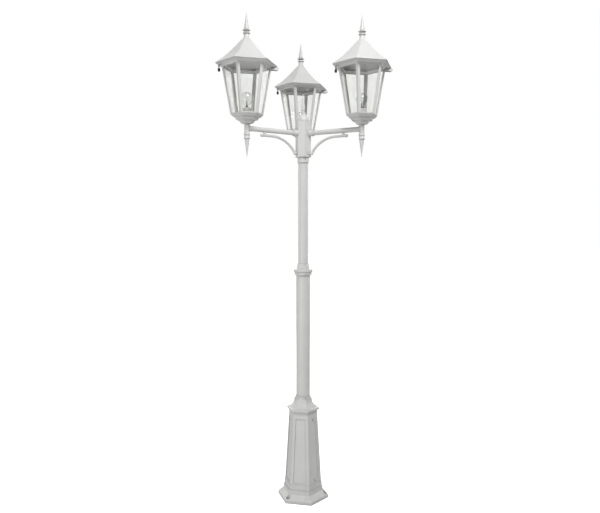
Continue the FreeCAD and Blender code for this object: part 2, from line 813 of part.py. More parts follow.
def hub():
    """Hexagonal casting on the pole's top, with a round boss for each arm."""
    face = "hub_corner * face"
    neck = disc("hub_neck", "hub_neck", "hub_foot", "hub_low")
    body = hex_loft("hub_body", [("hub_corner", "hub_low"), ("hub_corner", "hub_top")])
    move(body, turn="hub_turn")
    bosses = [
        bar("hub_boss_" + name, "arm_boss", "hub_cavity / 2 + 1", face + " + arm_boss_length", "arm", turn)
        for name, turn in HEADS.items()
    ]
    solid = join("hub_solid", [neck, body] + bosses)
    tools = [
        disc("hub_pole_socket", "upper_pole + 2 * seat_gap", "hub_foot - 1", "upper_top"),
        disc(
            "hub_wire_bore", "upper_pole - 2 * (upper_pole_wall + hub_wire_ledge)",
            "upper_top - 1", "upper_top + hub_socket_floor + 1"),
        disc("hub_cavity", "hub_cavity", "upper_top + hub_socket_floor", "hub_top + 1"),
        bar(
            "hub_grub_hole", "grub", "upper_pole / 2 - 1", "hub_neck / 2 + 1",
            "hub_grub_level", "grub_turn"),
    ]
    for name, turn in HEADS.items():
        far = face + " + arm_boss_length + 1"
        tools.append(bar("hub_arm_bore_" + name, "arm_tube", "1", far, "arm", turn))
    for corner in CORNERS:
        turn = "hub_turn + %d" % corner
        tools.append(disc(
            "hub_groove_%d" % corner, "hub_groove",
            "hub_low + hub_groove_margin", "hub_top - hub_groove_margin",
            "hub_corner * cos(%s)" % turn, "hub_corner * sin(%s)" % turn))
    keep(cut("hub", solid, tools), "hub")


def hub_cap():
    """Domed lid of the hub with a spigot that centres it."""
    keep(turned("hub_cap", [
        ("0", "hub_top - hub_cap_spigot"),
        ("hub_cavity / 2 - seat_gap", "hub_top - hub_cap_spigot"),
        ("hub_cavity / 2 - seat_gap", "hub_top"),
        ("hub_cap_bead / 2", "hub_top"),
        ("hub_cap_bead / 2", "hub_top + hub_cap_bead_height"),
        ("hub_cap_dome / 2", "hub_top + hub_cap_bead_height", "hub_cap_bend"),
        ("hub_cap_crown / 2", "hub_crown"),
        ("0", "hub_crown"),
    ]), "hub_cap")


def spike(base, level, height, up=True):
    """Outline of a slender spike with a small shoulder, from its base to its tip on the axis."""
    sign = "+" if up else "-"
    return [
        ("%s / 2" % base, "%s %s spike_shoulder" % (level, sign)),
        ("spike_tip / 2", "%s %s (%s)" % (level, sign, height)),
        ("0", "%s %s (%s)" % (level, sign, height)),
    ]


def hub_finial():
    """Collar, neck and bead below a spike."""
    collar_low = "hub_crown + hub_finial_slope"
    neck_low = "hub_crown + hub_finial_neck_rise"
    neck_high = neck_low + " + hub_finial_neck_height"
    bead_low = neck_high + " + hub_finial_slope"
    foot = "hub_crown + hub_finial_rise"
    keep(turned("hub_finial", [
        ("0", "hub_crown"),
        ("hub_finial_neck / 2", "hub_crown"),
        ("hub_finial_collar / 2", collar_low),
        ("hub_finial_collar / 2", collar_low + " + hub_finial_collar_edge"),
        ("hub_finial_neck / 2", neck_low),
        ("hub_finial_neck / 2", neck_high),
        ("hub_finial_bead / 2", bead_low),
        ("hub_finial_bead / 2", bead_low + " + hub_finial_bead_edge"),
        ("hub_spike / 2 - hub_spike_ledge", foot),
    ] + spike("hub_spike", foot, "hub_spike_height")), "hub_finial")


# Arms, each modelled along +X and turned to its head

def arm_tube(side, turn):
    face = "hub_corner * face"
    outside = bar("arm_outside_" + side, "arm_tube", face + " - arm_inset", "arm_reach", "arm")
    inside = bar("arm_inside_" + side, "arm_tube - 2 * arm_wall", "hub_cavity / 2 - 1", "arm_reach", "arm")
    stem = disc("arm_saddle_" + side, "stem", "arm - arm_tube", "arm + arm_tube", "arm_reach")
    keep(cut("arm_tube_" + side, outside, [inside, stem]), "arm_tube_" + side, turn=turn)


def brace(side, turn):
    """Bar that runs level below the arm and bends down to the hub, with a ball at each end and a
    short stub to the arm and to the hub."""
    level = "arm - brace_drop"
    foot_level = "arm - brace_foot_drop"
    foot_dip = "(brace_bend - (brace_foot_drop - brace_drop))"
    foot_reach = "brace_bend_start - sqrt(brace_bend * brace_bend - %s * %s)" % (foot_dip, foot_dip)
    body = doc.addObject("PartDesign::Body", "brace_bar_" + side)
    path = sketch_on(body, "XZ_Plane", "brace_path_" + side)
    line = [("brace_tip", level), ("brace_bend_start", level, "brace_bend"), (foot_reach, foot_level)]
    draw(path, line, closed=False)
    profile = sketch_on(body, "YZ_Plane", "brace_profile_" + side)
    profile.setExpression("AttachmentOffset.Base.z", bind("brace_tip"))
    circle = Part.Circle(FreeCAD.Vector(0, value(level), 0), UP, value("brace_bar / 2"))
    profile.addGeometry(circle, False)
    profile.addConstraint(Sketcher.Constraint("PointOnObject", 0, 3, -2))
    for kind, formula in (("DistanceY", level), ("Radius", "brace_bar / 2")):
        arguments = (-1, 1, 0, 3) if kind == "DistanceY" else (0,)
        index = profile.addConstraint(Sketcher.Constraint(kind, *arguments, value(formula)))
        profile.renameConstraint(index, kind.lower())
        profile.setExpression("Constraints." + kind.lower(), bind(formula))
    pipe = body.newObject("PartDesign::AdditivePipe", "brace_pipe_" + side)
    pipe.Profile = profile
    pipe.Spine = (path, ["Edge1", "Edge2"])
    body.Tip = pipe
    balls = []
    for name, reach, height in (("tip", "brace_tip", level), ("foot", foot_reach, foot_level)):
        ball = make("Part::Sphere", "brace_%s_ball_%s" % (name, side), Radius="brace_end / 2")
        balls.append(move(ball, x=reach, z=height))
    strut = disc("brace_strut_" + side, "brace_stub", level, "arm", "brace_strut")
    foot = bar("brace_foot_" + side, "brace_stub", "hub_corner * face - arm_inset", foot_reach, foot_level)
    solid = join("brace_solid_" + side, [body] + balls + [strut, foot])
    saddle = bar("brace_saddle_" + side, "arm_tube", "hub_corner", "arm_reach", "arm")
    seat = hex_loft("brace_seat_" + side, [("hub_corner", "hub_low"), ("hub_corner", "hub_top")])
    move(seat, turn="hub_turn - (%s)" % turn)
    keep(cut("brace_" + side, solid, [saddle, seat]), "brace_" + side, turn=turn)


def stem(side, head):
    """Upright that carries a lantern, with a thread on top and a wire way up its middle."""
    body = turned("stem_body_" + side, [
        ("0", "stem_foot"),
        ("stem / 2", "stem_foot"),
        ("stem / 2", "dish_foot"),
        ("stem_thread / 2", "dish_foot"),
        ("stem_thread / 2", "dish_foot + stem_thread_rise"),
        ("stem_wire_bore / 2", "dish_foot + stem_thread_rise"),
        ("stem_wire_bore / 2", "arm"),
        ("0", "arm"),
    ])
    way = bar("stem_way_" + side, "arm_tube - 2 * arm_wall", "-stem", "0", "arm", head)
    keep(cut("stem_" + side, body, [way]), "stem_" + side, head=head)


def drop_finial(side, head):
    """Two bevelled collars with a groove between them, and a spike that points down."""
    top = "stem_foot"
    first = "stem_foot - drop_collar_height"
    second = "stem_foot - drop_collar_height - drop_groove_height"
    foot = "stem_foot - 2 * drop_collar_height - drop_groove_height"
    keep(turned("drop_finial_" + side, [
        ("0", top),
        ("drop_groove / 2", top),
        ("drop_collar / 2", top + " - drop_bevel"),
        ("drop_collar / 2", first + " + drop_bevel"),
        ("drop_groove / 2", first),
        ("drop_groove / 2", second),
        ("drop_collar / 2", second + " - drop_bevel"),
        ("drop_collar / 2", foot + " + drop_spike_bevel"),
        ("drop_spike / 2 - drop_spike_ledge", foot),
    ] + spike("drop_spike", foot, "drop_spike_height", up=False)), "drop_finial_" + side, head=head)


# Lanterns, each modelled with its hinge towards +X and turned to its place

def bottom_dish(side, head):
    """Stepped six-sided dish, hollow above."""
    tier_top = "dish_foot + dish_tier_height"
    band_top = tier_top + " + dish_band_height"
    steps = [
        hex_loft("dish_tier_" + side, [("dish_foot_corner", "dish_foot"), ("dish_tier_corner", tier_top)]),
        hex_loft("dish_band_" + side, [("dish_band_corner", tier_top), ("dish_band_top_corner", band_top)]),
        hex_loft("dish_lip_" + side, [("dish_lip_corner", band_top), ("cage_foot_corner", "dish_top")]),
    ]
    cavity = disc("dish_cavity_" + side, "dish_cavity", "dish_floor_level", "dish_top + 1")
    hole = disc("dish_hole_" + side, "stem_thread", "dish_foot - 1", "dish_floor_level + 1")
    dish = cut("bottom_dish_" + side, join("dish_solid_" + side, steps), [cavity, hole])
    keep(dish, "bottom_dish_" + side, head=head, turn="lantern_turn")


def stem_nut(side, head):
    top = "holder_foot_level"
    nut = hex_loft("nut_body_" + side, [("stem_nut / 2", "dish_floor_level"), ("stem_nut / 2", top)])
    hole = disc("nut_hole_" + side, "stem_thread", "dish_floor_level - 1", top + " + 1")
    keep(cut("stem_nut_" + side, nut, [hole]), "stem_nut_" + side, head=head)


def lampholder(side, head):
    """Screw lampholder: a foot on the stem's thread and a body with a deep socket."""
    thread_top = "dish_foot + stem_thread_rise"
    keep(turned("lampholder_" + side, [
        ("stem_thread / 2", "holder_foot_level"),
        ("holder_foot / 2", "holder_foot_level"),
        ("holder_body / 2", "holder_foot_level + holder_foot_height"),
        ("holder_body / 2", "holder_top"),
        ("lamp_cap / 2 + lamp_cap_gap", "holder_top"),
        ("lamp_cap / 2 + lamp_cap_gap", "lamp_cap_foot"),
        ("0", "lamp_cap_foot"),
        ("0", thread_top),
        ("stem_thread / 2", thread_top),
    ]), "lampholder_" + side, head=head)


def lamp_cap(side, head):
    """Screw cap of the lamp with its insulated contact end."""
    keep(turned("lamp_cap_" + side, [
        ("0", "lamp_cap_foot"),
        ("lamp_contact / 2", "lamp_cap_foot"),
        ("lamp_cap / 2", "lamp_cap_foot + lamp_cap_bevel"),
        ("lamp_cap / 2", "lamp_foot"),
        ("0", "lamp_foot"),
    ]), "lamp_cap_" + side, head=head)


def lamp_bulb(side, head):
    """Thin clear bulb: a neck that flares into a sphere."""
    def skin(inset):
        radius = "(lamp_bulb / 2 - %s)" % inset
        rise = "(lamp_centre - lamp_foot - lamp_neck_height)"
        return radius, "sqrt(%s * %s - %s * %s)" % (radius, radius, rise, rise)
    outer, outer_join = skin("0")
    inner, inner_join = skin("lamp_glass")
    join_level = "lamp_foot + lamp_neck_height"
    keep(turned("lamp_bulb_" + side, [
        ("lamp_cap / 2", "lamp_foot", "-lamp_neck_bend"),
        (outer_join, join_level, outer),
        ("0", "lamp_top"),
        ("0", "lamp_top - lamp_glass", "-" + inner),
        (inner_join, join_level, "lamp_neck_bend"),
        ("lamp_cap / 2 - lamp_glass", "lamp_foot"),
    ]), "lamp_bulb_" + side, head=head)


def cage_panel(label, turn, low, high, margin, inner, outer):
    """Panel in a lantern face between two levels, with the side margins and depths from the face."""
    corners = ["(cage_foot_corner + cage_taper * (%s - dish_top))" % level for level in (low, high)]
    halves = ["%s / 2 - (%s)" % (corner, margin) for corner in corners]
    inners = ["%s * face - (%s)" % (corner, inner) for corner in corners]
    outers = ["%s * face + (%s)" % (corner, outer) for corner in corners]
    return panel(label, turn, low, high, halves, inners, outers)


def hinge_ears(side):
    """Two ears on the crown's corner that hold the hinge pin."""
    near = "hinge_lug_width / 2 + hinge_side_gap"
    far = near + " + hinge_ear_width"
    half = "hinge_knuckle / 2"
    ears = []
    for name, low, high in (("a", near, far), ("b", "-(%s)" % far, "-(%s)" % near)):
        ears.append(cross_bar(
            "ear_%s_%s" % (name, side), "hinge_knuckle", low, high, "hinge_reach", "hinge_level"))
        ears.append(block(
            "ear_web_%s_%s" % (name, side), ("hinge_reach - hinge_ear_inset", "hinge_reach"), (low, high),
            ("hinge_level - %s" % half, "hinge_level + %s - hinge_web_drop" % half)))
    return ears


def lantern_cage(side, head):
    """Six leaning posts between a sill and a flared crown, with the hinge ears and the boss of the
    thumb screw."""
    wall = " - cage_wall / face"
    outside = hex_loft("cage_outside_" + side, [
        ("cage_foot_corner", "dish_top"), ("cage_top_corner", "crown_foot")])
    inside = hex_loft("cage_inside_" + side, [
        ("cage_foot_corner" + wall, "dish_top"), ("cage_top_corner" + wall, "crown_foot")])
    shell = cut("cage_shell_" + side, outside, [inside])
    flare = hex_loft("crown_flare_" + side, [
        ("cage_top_corner", "crown_foot"),
        ("crown_low_corner", "crown_foot + crown_low_rise"),
        ("crown_mid_corner", "crown_foot + crown_mid_rise"),
        ("crown_corner", "crown_top - crown_edge"),
    ], smooth=True)
    edge = hex_loft("crown_edge_" + side, [
        ("crown_corner", "crown_top - crown_edge"), ("crown_corner", "crown_top")])
    opening = hex_loft("crown_opening_" + side, [
        ("crown_opening", "crown_foot - 1"), ("crown_opening", "crown_top + 1")])
    notch = block(
        "crown_notch_" + side,
        ("hinge_reach - hinge_knuckle / 2 - hinge_notch_gap", "hinge_reach + hinge_knuckle"),
        ("-hinge_lug_width / 2 - hinge_side_gap", "hinge_lug_width / 2 + hinge_side_gap"),
        ("hinge_level - hinge_knuckle", "crown_top + 1"))
    crown = cut("crown_" + side, join("crown_solid_" + side, [flare, edge]), [opening, notch])
    boss = disc("catch_boss_" + side, "catch_boss", "catch_boss_foot", "crown_top", "-catch_reach")
    solid = join("cage_solid_" + side, [shell, crown, boss] + hinge_ears(side))
    windows = [
        cage_panel(
            "window_%d_%s" % (turn, side), turn, "dish_top + cage_sill", "crown_foot - cage_head",
            "cage_stile", "cage_wall + %s" % OVERCUT, OVERCUT)
        for turn in FACES
    ]
    ear_span = "(hinge_lug_width + hinge_ear_width)"
    pin_hole = cross_bar(
        "pin_hole_" + side, "hinge_pin", "-" + ear_span, ear_span, "hinge_reach", "hinge_level")
    screw_hole = disc(
        "catch_hole_" + side, "catch_screw + 2 * catch_running_gap", "catch_boss_foot - 1", "crown_top + 1",
        "-catch_reach")
    keep(
        cut("lantern_cage_" + side, solid, windows + [pin_hole, screw_hole]), "lantern_cage_" + side,
        head=head, turn="lantern_turn")


def glass_panes(side, head):
    """Six panes that stand on the dish behind the posts."""
    panes = [
        cage_panel(
            "pane_%d_%s" % (turn, side), turn, "dish_top", "crown_foot - pane_gap",
            "(cage_wall + pane_thickness) / face / 2 + pane_margin",
            "cage_wall + pane_thickness", "-cage_wall")
        for turn in FACES
    ]
    keep(group("glass_panes_" + side, panes), "glass_panes_" + side, head=head, turn="lantern_turn")


def roof_skin(label, inset, foot, top):
    """Flared six-sided skin of the roof, drawn in by a level inset."""
    return hex_loft(label, [
        ("roof_corner - (%s)" % inset, foot),
        ("roof_low_corner - (%s)" % inset, "roof_brim + roof_low_rise"),
        ("roof_mid_corner - (%s)" % inset, "roof_brim + roof_mid_rise"),
        ("roof_high_corner - (%s)" % inset, "roof_brim + roof_high_rise"),
        ("roof_top_corner - (%s)" % inset, top),
    ], smooth=True)


def roof(side, head):
    """Hollow flared roof with the hinge lug at one corner and the thumb screw's boss at the other."""
    edge = hex_loft("roof_edge_" + side, [("roof_corner", "roof_foot"), ("roof_corner", "roof_brim")])
    skin = roof_skin("roof_skin_" + side, "0", "roof_brim", "seam")
    outside = join("roof_outside_" + side, [edge, skin])
    inside = roof_skin("roof_inside_" + side, "roof_wall", "roof_foot", "seam - roof_top_wall")
    shell = cut("roof_shell_" + side, outside, [inside])
    post = disc("roof_post_" + side, "catch_boss", "roof_foot", "seam", "-catch_reach")
    boss = overlap("roof_boss_" + side, [post, roof_skin("roof_limit_" + side, "0", "roof_foot", "seam")])
    half = "hinge_lug_width / 2"
    knuckle = cross_bar("knuckle_" + side, "hinge_knuckle", "-" + half, half, "hinge_reach", "hinge_level")
    lug = block(
        "lug_" + side, ("hinge_reach - hinge_lug_inset", "roof_corner"), ("-" + half, half),
        ("hinge_level", "roof_brim"))
    solid = join("roof_solid_" + side, [shell, boss, knuckle, lug])
    pin_hole = cross_bar(
        "knuckle_hole_" + side, "hinge_pin + 2 * hinge_running_gap", "-hinge_lug_width", "hinge_lug_width",
        "hinge_reach", "hinge_level")
    screw_hole = disc(
        "roof_screw_hole_" + side, "catch_screw + 2 * catch_roof_gap",
        "roof_foot - 1", "roof_foot + catch_roof_depth", "-catch_reach")
    keep(cut("roof_" + side, solid, [pin_hole, screw_hole]), "roof_" + side, head=head, turn="lantern_turn")


def roof_finial(side, head):
    """Bell-shaped foot, a collar, a flange and a tall spike."""
    bell_top = "seam + bell_height"
    collar_top = bell_top + " + finial_collar_height"
    neck_top = collar_top + " + finial_neck_height"
    flange_top = neck_top + " + finial_flange_height"
    keep(turned("roof_finial_" + side, [
        ("0", "seam"),
        ("bell / 2", "seam", "-bell_bend"),
        ("bell_waist / 2", bell_top),
        ("finial_collar / 2 - finial_collar_ledge", bell_top),
        ("finial_collar / 2", bell_top + " + finial_collar_bevel"),
        ("finial_collar / 2", collar_top + " - finial_collar_slope"),
        ("finial_neck / 2", collar_top),
        ("finial_neck / 2", neck_top),
        ("finial_flange / 2", neck_top + " + finial_flange_bevel"),
        ("finial_flange / 2", flange_top + " - finial_flange_bevel"),
        ("finial_spike / 2 - finial_spike_ledge", flange_top),
    ] + spike("finial_spike", flange_top, "finial_spike_height")), "roof_finial_" + side, head=head)


def hinge_pin(side, head):
    half = "(hinge_lug_width / 2 + hinge_side_gap + hinge_ear_width + hinge_pin_overhang)"
    pin = cross_bar("pin_rod_" + side, "hinge_pin", "-" + half, half, "hinge_reach", "hinge_level")
    keep(group("hinge_pin_" + side, [pin]), "hinge_pin_" + side, head=head, turn="lantern_turn")


def catch_screw(side, head):
    """Captive thumb screw below the crown, with a faceted grip."""
    foot = "catch_knob_top - catch_knob_height"
    shank = disc("catch_shank_" + side, "catch_screw", "catch_knob_top - 1", "catch_tip", "-catch_reach")
    knob = disc("catch_knob_" + side, "catch_knob", foot, "catch_knob_top", "-catch_reach")
    flutes = []
    for turn in FACES:
        x = "-catch_reach + catch_knob / 2 * cos(%d)" % turn
        y = "catch_knob / 2 * sin(%d)" % turn
        flutes.append(disc(
            "flute_%d_%s" % (turn, side), "catch_flute", foot + " - 1",
            "catch_knob_top - catch_flute_margin", x, y))
    grip = cut("catch_grip_" + side, knob, flutes)
    keep(join("catch_screw_" + side, [shank, grip]), "catch_screw_" + side, head=head, turn="lantern_turn")


def check_and_write():
    """Stop on any failed object, then write one file for each sub-part."""
    doc.recompute()
    for item in doc.Objects:
        if {"Invalid", "Error"} & set(item.State):
            raise RuntimeError("%s failed: %s" % (item.Name, item.State))
    os.makedirs("parts", exist_ok=True)
    for item in parts:
        shape = item.Shape
        if shape.isNull() or not shape.isValid() or shape.Volume <= 0:
            raise RuntimeError(item.Label + " has no valid solid")
        shape.exportStep(os.path.join("parts", item.Label + ".step"))
        print("%-22s solids %d  volume %9.0f" % (item.Label, len(shape.Solids), shape.Volume))


fill_sheet()
base_casting()
service_cover()
cover_screws()
terminal_block()
base_cap()
poles()
joint_ring()
grub_screws()
hub()
hub_cap()
hub_finial()
for side, head in HEADS.items():
    arm_tube(side, head)
    brace(side, head)
    stem(side, head)
    drop_finial(side, head)
    bottom_dish(side, head)
    stem_nut(side, head)
    lampholder(side, head)
    lamp_cap(side, head)
    lamp_bulb(side, head)
    lantern_cage(side, head)
    glass_panes(side, head)
    roof(side, head)
    roof_finial(side, head)
    hinge_pin(side, head)
    catch_screw(side, head)
check_and_write()
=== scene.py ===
import json
import math

import bmesh
import bpy
import numpy as np
from bpy.props import FloatProperty, FloatVectorProperty, IntProperty, PointerProperty
from bpy.types import Operator, Panel, PropertyGroup
from mathutils import Matrix, Vector


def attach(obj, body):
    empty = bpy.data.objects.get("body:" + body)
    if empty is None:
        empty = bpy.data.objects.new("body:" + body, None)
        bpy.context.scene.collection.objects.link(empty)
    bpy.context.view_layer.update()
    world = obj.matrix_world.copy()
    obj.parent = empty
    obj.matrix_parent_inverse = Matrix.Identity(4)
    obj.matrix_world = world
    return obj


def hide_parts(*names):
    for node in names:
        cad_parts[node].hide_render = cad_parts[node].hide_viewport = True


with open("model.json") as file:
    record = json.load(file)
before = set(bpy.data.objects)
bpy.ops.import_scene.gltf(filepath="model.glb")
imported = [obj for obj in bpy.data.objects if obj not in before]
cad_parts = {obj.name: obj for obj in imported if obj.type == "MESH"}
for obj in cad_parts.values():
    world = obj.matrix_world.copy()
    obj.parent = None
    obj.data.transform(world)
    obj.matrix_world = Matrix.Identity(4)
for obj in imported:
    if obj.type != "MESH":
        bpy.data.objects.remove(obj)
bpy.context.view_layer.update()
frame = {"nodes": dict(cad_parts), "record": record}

bl_info = {
    "name": "Triple Head Lamp Post",
    "version": (1, 0, 0),
    "blender": (4, 5, 0),
    "location": "View3D > Sidebar > Lamp Post",
    "description": "Dresses a white garden lamp post with three glazed lanterns",
    "category": "Object",
}

MM = 0.001

# Where the heads stand about the pole, and how each lantern is turned on its stem
HEAD_ANGLE = {"right": math.radians(-30), "rear": math.radians(90), "left": math.radians(210)}
LANTERN_TURN = math.radians(12)

# Millimetres from the pole's axis
ARM_REACH = 317

# Millimetres from a lantern's axis
ROOF_CORNER = 149
HINGE_REACH = 148
CATCH_REACH = 131

# Millimetres above the ground
STEM_FOOT = 1834
ARM = 1858
DISH_FOOT = 1880
HOLDER_FOOT = 1906.2
HUB_TOP = 1917
CAP_FOOT = 1924.2
LAMP_FOOT = 1953
HUB_CROWN = 1958
LAMP_CENTRE = 1999
KNOB_FOOT = 2116.8
HINGE_LEVEL = 2144
CATCH_TIP = 2154.6
ROOF_FOOT = 2155.3
SEAM = 2272.3


# Sizes and colours that a user may change

class PaintSettings(PropertyGroup):
    colour: FloatVectorProperty(
        name="Paint", description="Colour of the powder coat",
        subtype="COLOR", size=3, min=0, max=1, default=(0.66, 0.665, 0.65))
    # The dust colour is also the colour of the painted shade in corners and between parts
    dust: FloatVectorProperty(
        name="Dust", description="Colour of the dust in hollows and streaks",
        subtype="COLOR", size=3, min=0, max=1, default=(0.33, 0.33, 0.31))
    roughness: FloatProperty(
        name="Roughness", description="How dull the powder coat is",
        subtype="FACTOR", min=0, max=1, default=0.46)
    edge: FloatProperty(
        name="Edge", description="Radius that the paint gives to a sharp edge",
        subtype="DISTANCE", default=0.0015)
    # The corner distance is the ambient occlusion's reach: how far the painted shade spreads from a corner
    corner: FloatProperty(
        name="Corner", description="How far dust spreads from a corner", subtype="DISTANCE", default=0.014)
    grain: FloatProperty(
        name="Grain", description="Size of the orange peel in the paint", subtype="DISTANCE", default=0.0016)


class CastingSettings(PropertyGroup):
    hip: FloatProperty(
        name="Hip", description="Radius of the roofs' hips", subtype="DISTANCE", default=0.004)
    softness: FloatProperty(
        name="Softness", description="Radius of the mouldings' edges", subtype="DISTANCE", default=0.0016)
    segments: IntProperty(
        name="Segments", description="Faces round a turned piece", min=16, max=128, default=64)


class GlassSettings(PropertyGroup):
    pane: FloatVectorProperty(
        name="Pane", description="What one surface of a pane lets through",
        subtype="COLOR", size=3, min=0, max=1, default=(0.985, 0.988, 0.98))
    film: FloatProperty(
        name="Film", description="Share of a pane that dust hides",
        subtype="FACTOR", min=0, max=1, default=0.045)


class StageSettings(PropertyGroup):
    position: FloatVectorProperty(
        name="Camera", description="Where the camera stands", subtype="TRANSLATION", size=3,
        default=(-0.12486, -3.04747, 1.38604))
    aim: FloatVectorProperty(
        name="Aim", description="Direction in which the camera looks", subtype="DIRECTION", size=3,
        default=(0.035679, 0.998198, -0.048242))
    lens: FloatProperty(
        name="Lens", description="Focal length on a sensor 36 mm wide",
        subtype="DISTANCE_CAMERA", default=35.98)
    floor: FloatVectorProperty(
        name="Floor", description="Colour of the floor",
        subtype="COLOR", size=3, min=0, max=1, default=(0.92, 0.92, 0.92))
    ambient: FloatProperty(
        name="Ambient", description="Strength of the even light", min=0, default=0.22)
    key: FloatProperty(
        name="Key Light", description="Power of the high front light", subtype="POWER", default=80)


# Surfaces

def grid(points, close_rows=False, close_columns=False):
    """Points as rows by columns, and the four-sided faces between them. The last row or column joins
    the first where it is closed."""
    rows, columns = points.shape[:2]
    index = np.arange(rows * columns).reshape(rows, columns)
    if close_rows:
        index = np.vstack((index, index[:1]))
    if close_columns:
        index = np.hstack((index, index[:, :1]))
    quads = np.stack((index[:-1, :-1], index[:-1, 1:], index[1:, 1:], index[1:, :-1]), axis=-1)
    return points.reshape(-1, 3), quads.reshape(-1, 4)


def mesh_of(name, *grids):
    """One mesh of several grids in millimetres. Points that coincide, as at a pole, are merged."""
    starts = np.cumsum([0] + [len(points) for points, _ in grids])
    points = np.vstack([points for points, _ in grids]) * MM
    quads = np.vstack([quads + start for (_, quads), start in zip(grids, starts)])
    mesh = bpy.data.meshes.new(name)
    mesh.vertices.add(len(points))
    mesh.vertices.foreach_set("co", points.astype(np.float32).ravel())
    mesh.loops.add(quads.size)
    mesh.loops.foreach_set("vertex_index", quads.ravel().astype(np.int32))
    mesh.polygons.add(len(quads))
    mesh.polygons.foreach_set("loop_start", np.arange(0, quads.size, 4, dtype=np.int32))
    mesh.update(calc_edges=True)
    work = bmesh.new()
    work.from_mesh(mesh)
    bmesh.ops.remove_doubles(work, verts=work.verts, dist=2e-6)
    work.to_mesh(mesh)
    work.free()
    mesh.polygons.foreach_set("use_smooth", np.ones(len(mesh.polygons), dtype=bool))
    return mesh


def eased(outline, radius, steps=4, closed=False):
    """Outline with its corners rounded. Each corner P gives way to the curve (1-t)(1-t) A + 2t(1-t) P
    + t t B, where A and B lie on its two edges, at most the radius and half an edge from P."""
    outline = np.asarray(outline, dtype=float)
    before, after = np.roll(outline, 1, axis=0) - outline, np.roll(outline, -1, axis=0) - outline
    spans = [np.linalg.norm(edge, axis=1, keepdims=True) for edge in (before, after)]
    reach = np.minimum(np.full_like(spans[0], radius), 0.45 * np.minimum(*spans))
    near = outline + before / spans[0] * reach
    far = outline + after / spans[1] * reach
    t = np.linspace(0, 1, steps + 1)[None, :, None]
    curve = (1 - t) ** 2 * near[:, None] + 2 * t * (1 - t) * outline[:, None] + t ** 2 * far[:, None]
    if closed:
        return curve.reshape(-1, 2)
    return np.vstack((outline[:1], curve[1:-1].reshape(-1, 2), outline[-1:]))


def flowing(knots, steps=8):
    """Points along a smooth curve through the knots: between two knots it is the cubic whose slope at
    each knot is that of the line between the knot's neighbours."""
    knots = np.asarray(knots, dtype=float)
    ends = np.vstack((2 * knots[:1] - knots[1:2], knots, 2 * knots[-1:] - knots[-2:-1]))
    a, b, c, d = (ends[i:len(ends) - 3 + i, None, :] for i in range(4))
    t = np.linspace(0, 1, steps, endpoint=False)[None, :, None]
    square, cube = 2 * a - 5 * b + 4 * c - d, 3 * b - a - 3 * c + d
    curve = 0.5 * (2 * b + (c - a) * t + square * t ** 2 + cube * t ** 3)
    return np.vstack((curve.reshape(-1, knots.shape[1]), knots[-1:]))


def arc(centre, radius, start, end, steps=12):
    """Points on a circle: centre + radius (cos a, sin a) for a from start to end, in degrees."""
    a = np.radians(np.linspace(start, end, steps + 1))
    return np.stack((centre[0] + radius * np.cos(a), centre[1] + radius * np.sin(a)), axis=-1)


def lathe(outline, steps=None):
    """Surface of revolution: the outline's radius times (cos a, sin a), at the outline's height, for
    a from 0 to a full turn. The outline runs up the outside."""
    outline = np.asarray(outline, dtype=float)
    steps = steps or bpy.context.scene.lamp_post_casting.segments
    a = np.linspace(0, 2 * math.pi, steps, endpoint=False)
    ring = np.stack((np.cos(a), np.sin(a)), axis=-1)
    level = np.broadcast_to(outline[:, None, 1:], (len(outline), steps, 1))
    return np.concatenate((outline[:, None, :1] * ring[None], level), axis=-1)


def six_sided(outline, hip, steps=4):
    """Six-sided surface: the outline gives corner distance and height. Each of the six corners is an
    arc of the hip radius from 30 degrees before to 30 degrees after the corner's direction, about a
    centre hip / cos 30 inside the corner."""
    outline = np.asarray(outline, dtype=float)
    hip = np.minimum(hip, 0.3 * outline[:, 0])[:, None, None]
    corner = np.radians(60 * np.arange(6))[:, None]
    turn = corner + np.radians(np.linspace(-30, 30, steps + 1))[None, :]
    centre = outline[:, 0, None, None] - hip / math.cos(math.pi / 6)
    x = centre * np.cos(corner)[None] + hip * np.cos(turn)[None]
    y = centre * np.sin(corner)[None] + hip * np.sin(turn)[None]
    z = np.broadcast_to(outline[:, 1, None, None], x.shape)
    return np.stack((x, y, z), axis=-1).reshape(len(outline), -1, 3)


def swept(path, radius, reference=(0, 0, 1), steps=12, closed=False):
    """Round bar along a path: path + radius (cos a side + sin a other), where side is the path's
    direction crossed with the reference, and other is the direction crossed with side."""
    path = np.asarray(path, dtype=float)
    if closed:
        direction = np.roll(path, -1, axis=0) - np.roll(path, 1, axis=0)
    else:
        direction = np.gradient(path, axis=0)
    direction = direction / np.linalg.norm(direction, axis=1, keepdims=True)
    side = np.cross(direction, np.asarray(reference, dtype=float))
    side = side / np.linalg.norm(side, axis=1, keepdims=True)
    other = np.cross(direction, side)
    a = np.linspace(0, 2 * math.pi, steps, endpoint=False)[None, :, None]
    size = np.broadcast_to(radius, (len(path),))[:, None, None]
    ring = path[:, None] + size * (np.cos(a) * side[:, None] + np.sin(a) * other[:, None])
    if closed:
        return ring
    caps = [np.broadcast_to(end, (1, steps, 3)) for end in (path[0], path[-1])]
    return np.concatenate((caps[0], ring, caps[1]))


def slab(outline, low, high, soft):
    """Flat piece along Y: the outline gives X and Z, clockwise seen from -Y. Its two sides are drawn in
    by a soft edge and close on the outline's middle."""
    outline = np.asarray(outline, dtype=float)
    middle = outline.mean(axis=0)
    inset = middle + (outline - middle) * (1 - soft / np.abs(outline - middle).max())
    point = np.broadcast_to(middle, outline.shape)
    rings = (point, inset, outline, outline, inset, point)
    levels = (low, low, low + soft, high - soft, high, high)
    return np.stack([
        np.stack((ring[:, 0], np.full(len(ring), level), ring[:, 1]), axis=-1)
        for ring, level in zip(rings, levels)])


def placed(points, x=0.0, y=0.0, z=0.0, turn=0.0):
    """Points turned about the vertical and then moved."""
    c, s = math.cos(turn), math.sin(turn)
    return points @ np.array([[c, s, 0], [-s, c, 0], [0, 0, 1]]) + np.array([x, y, z])


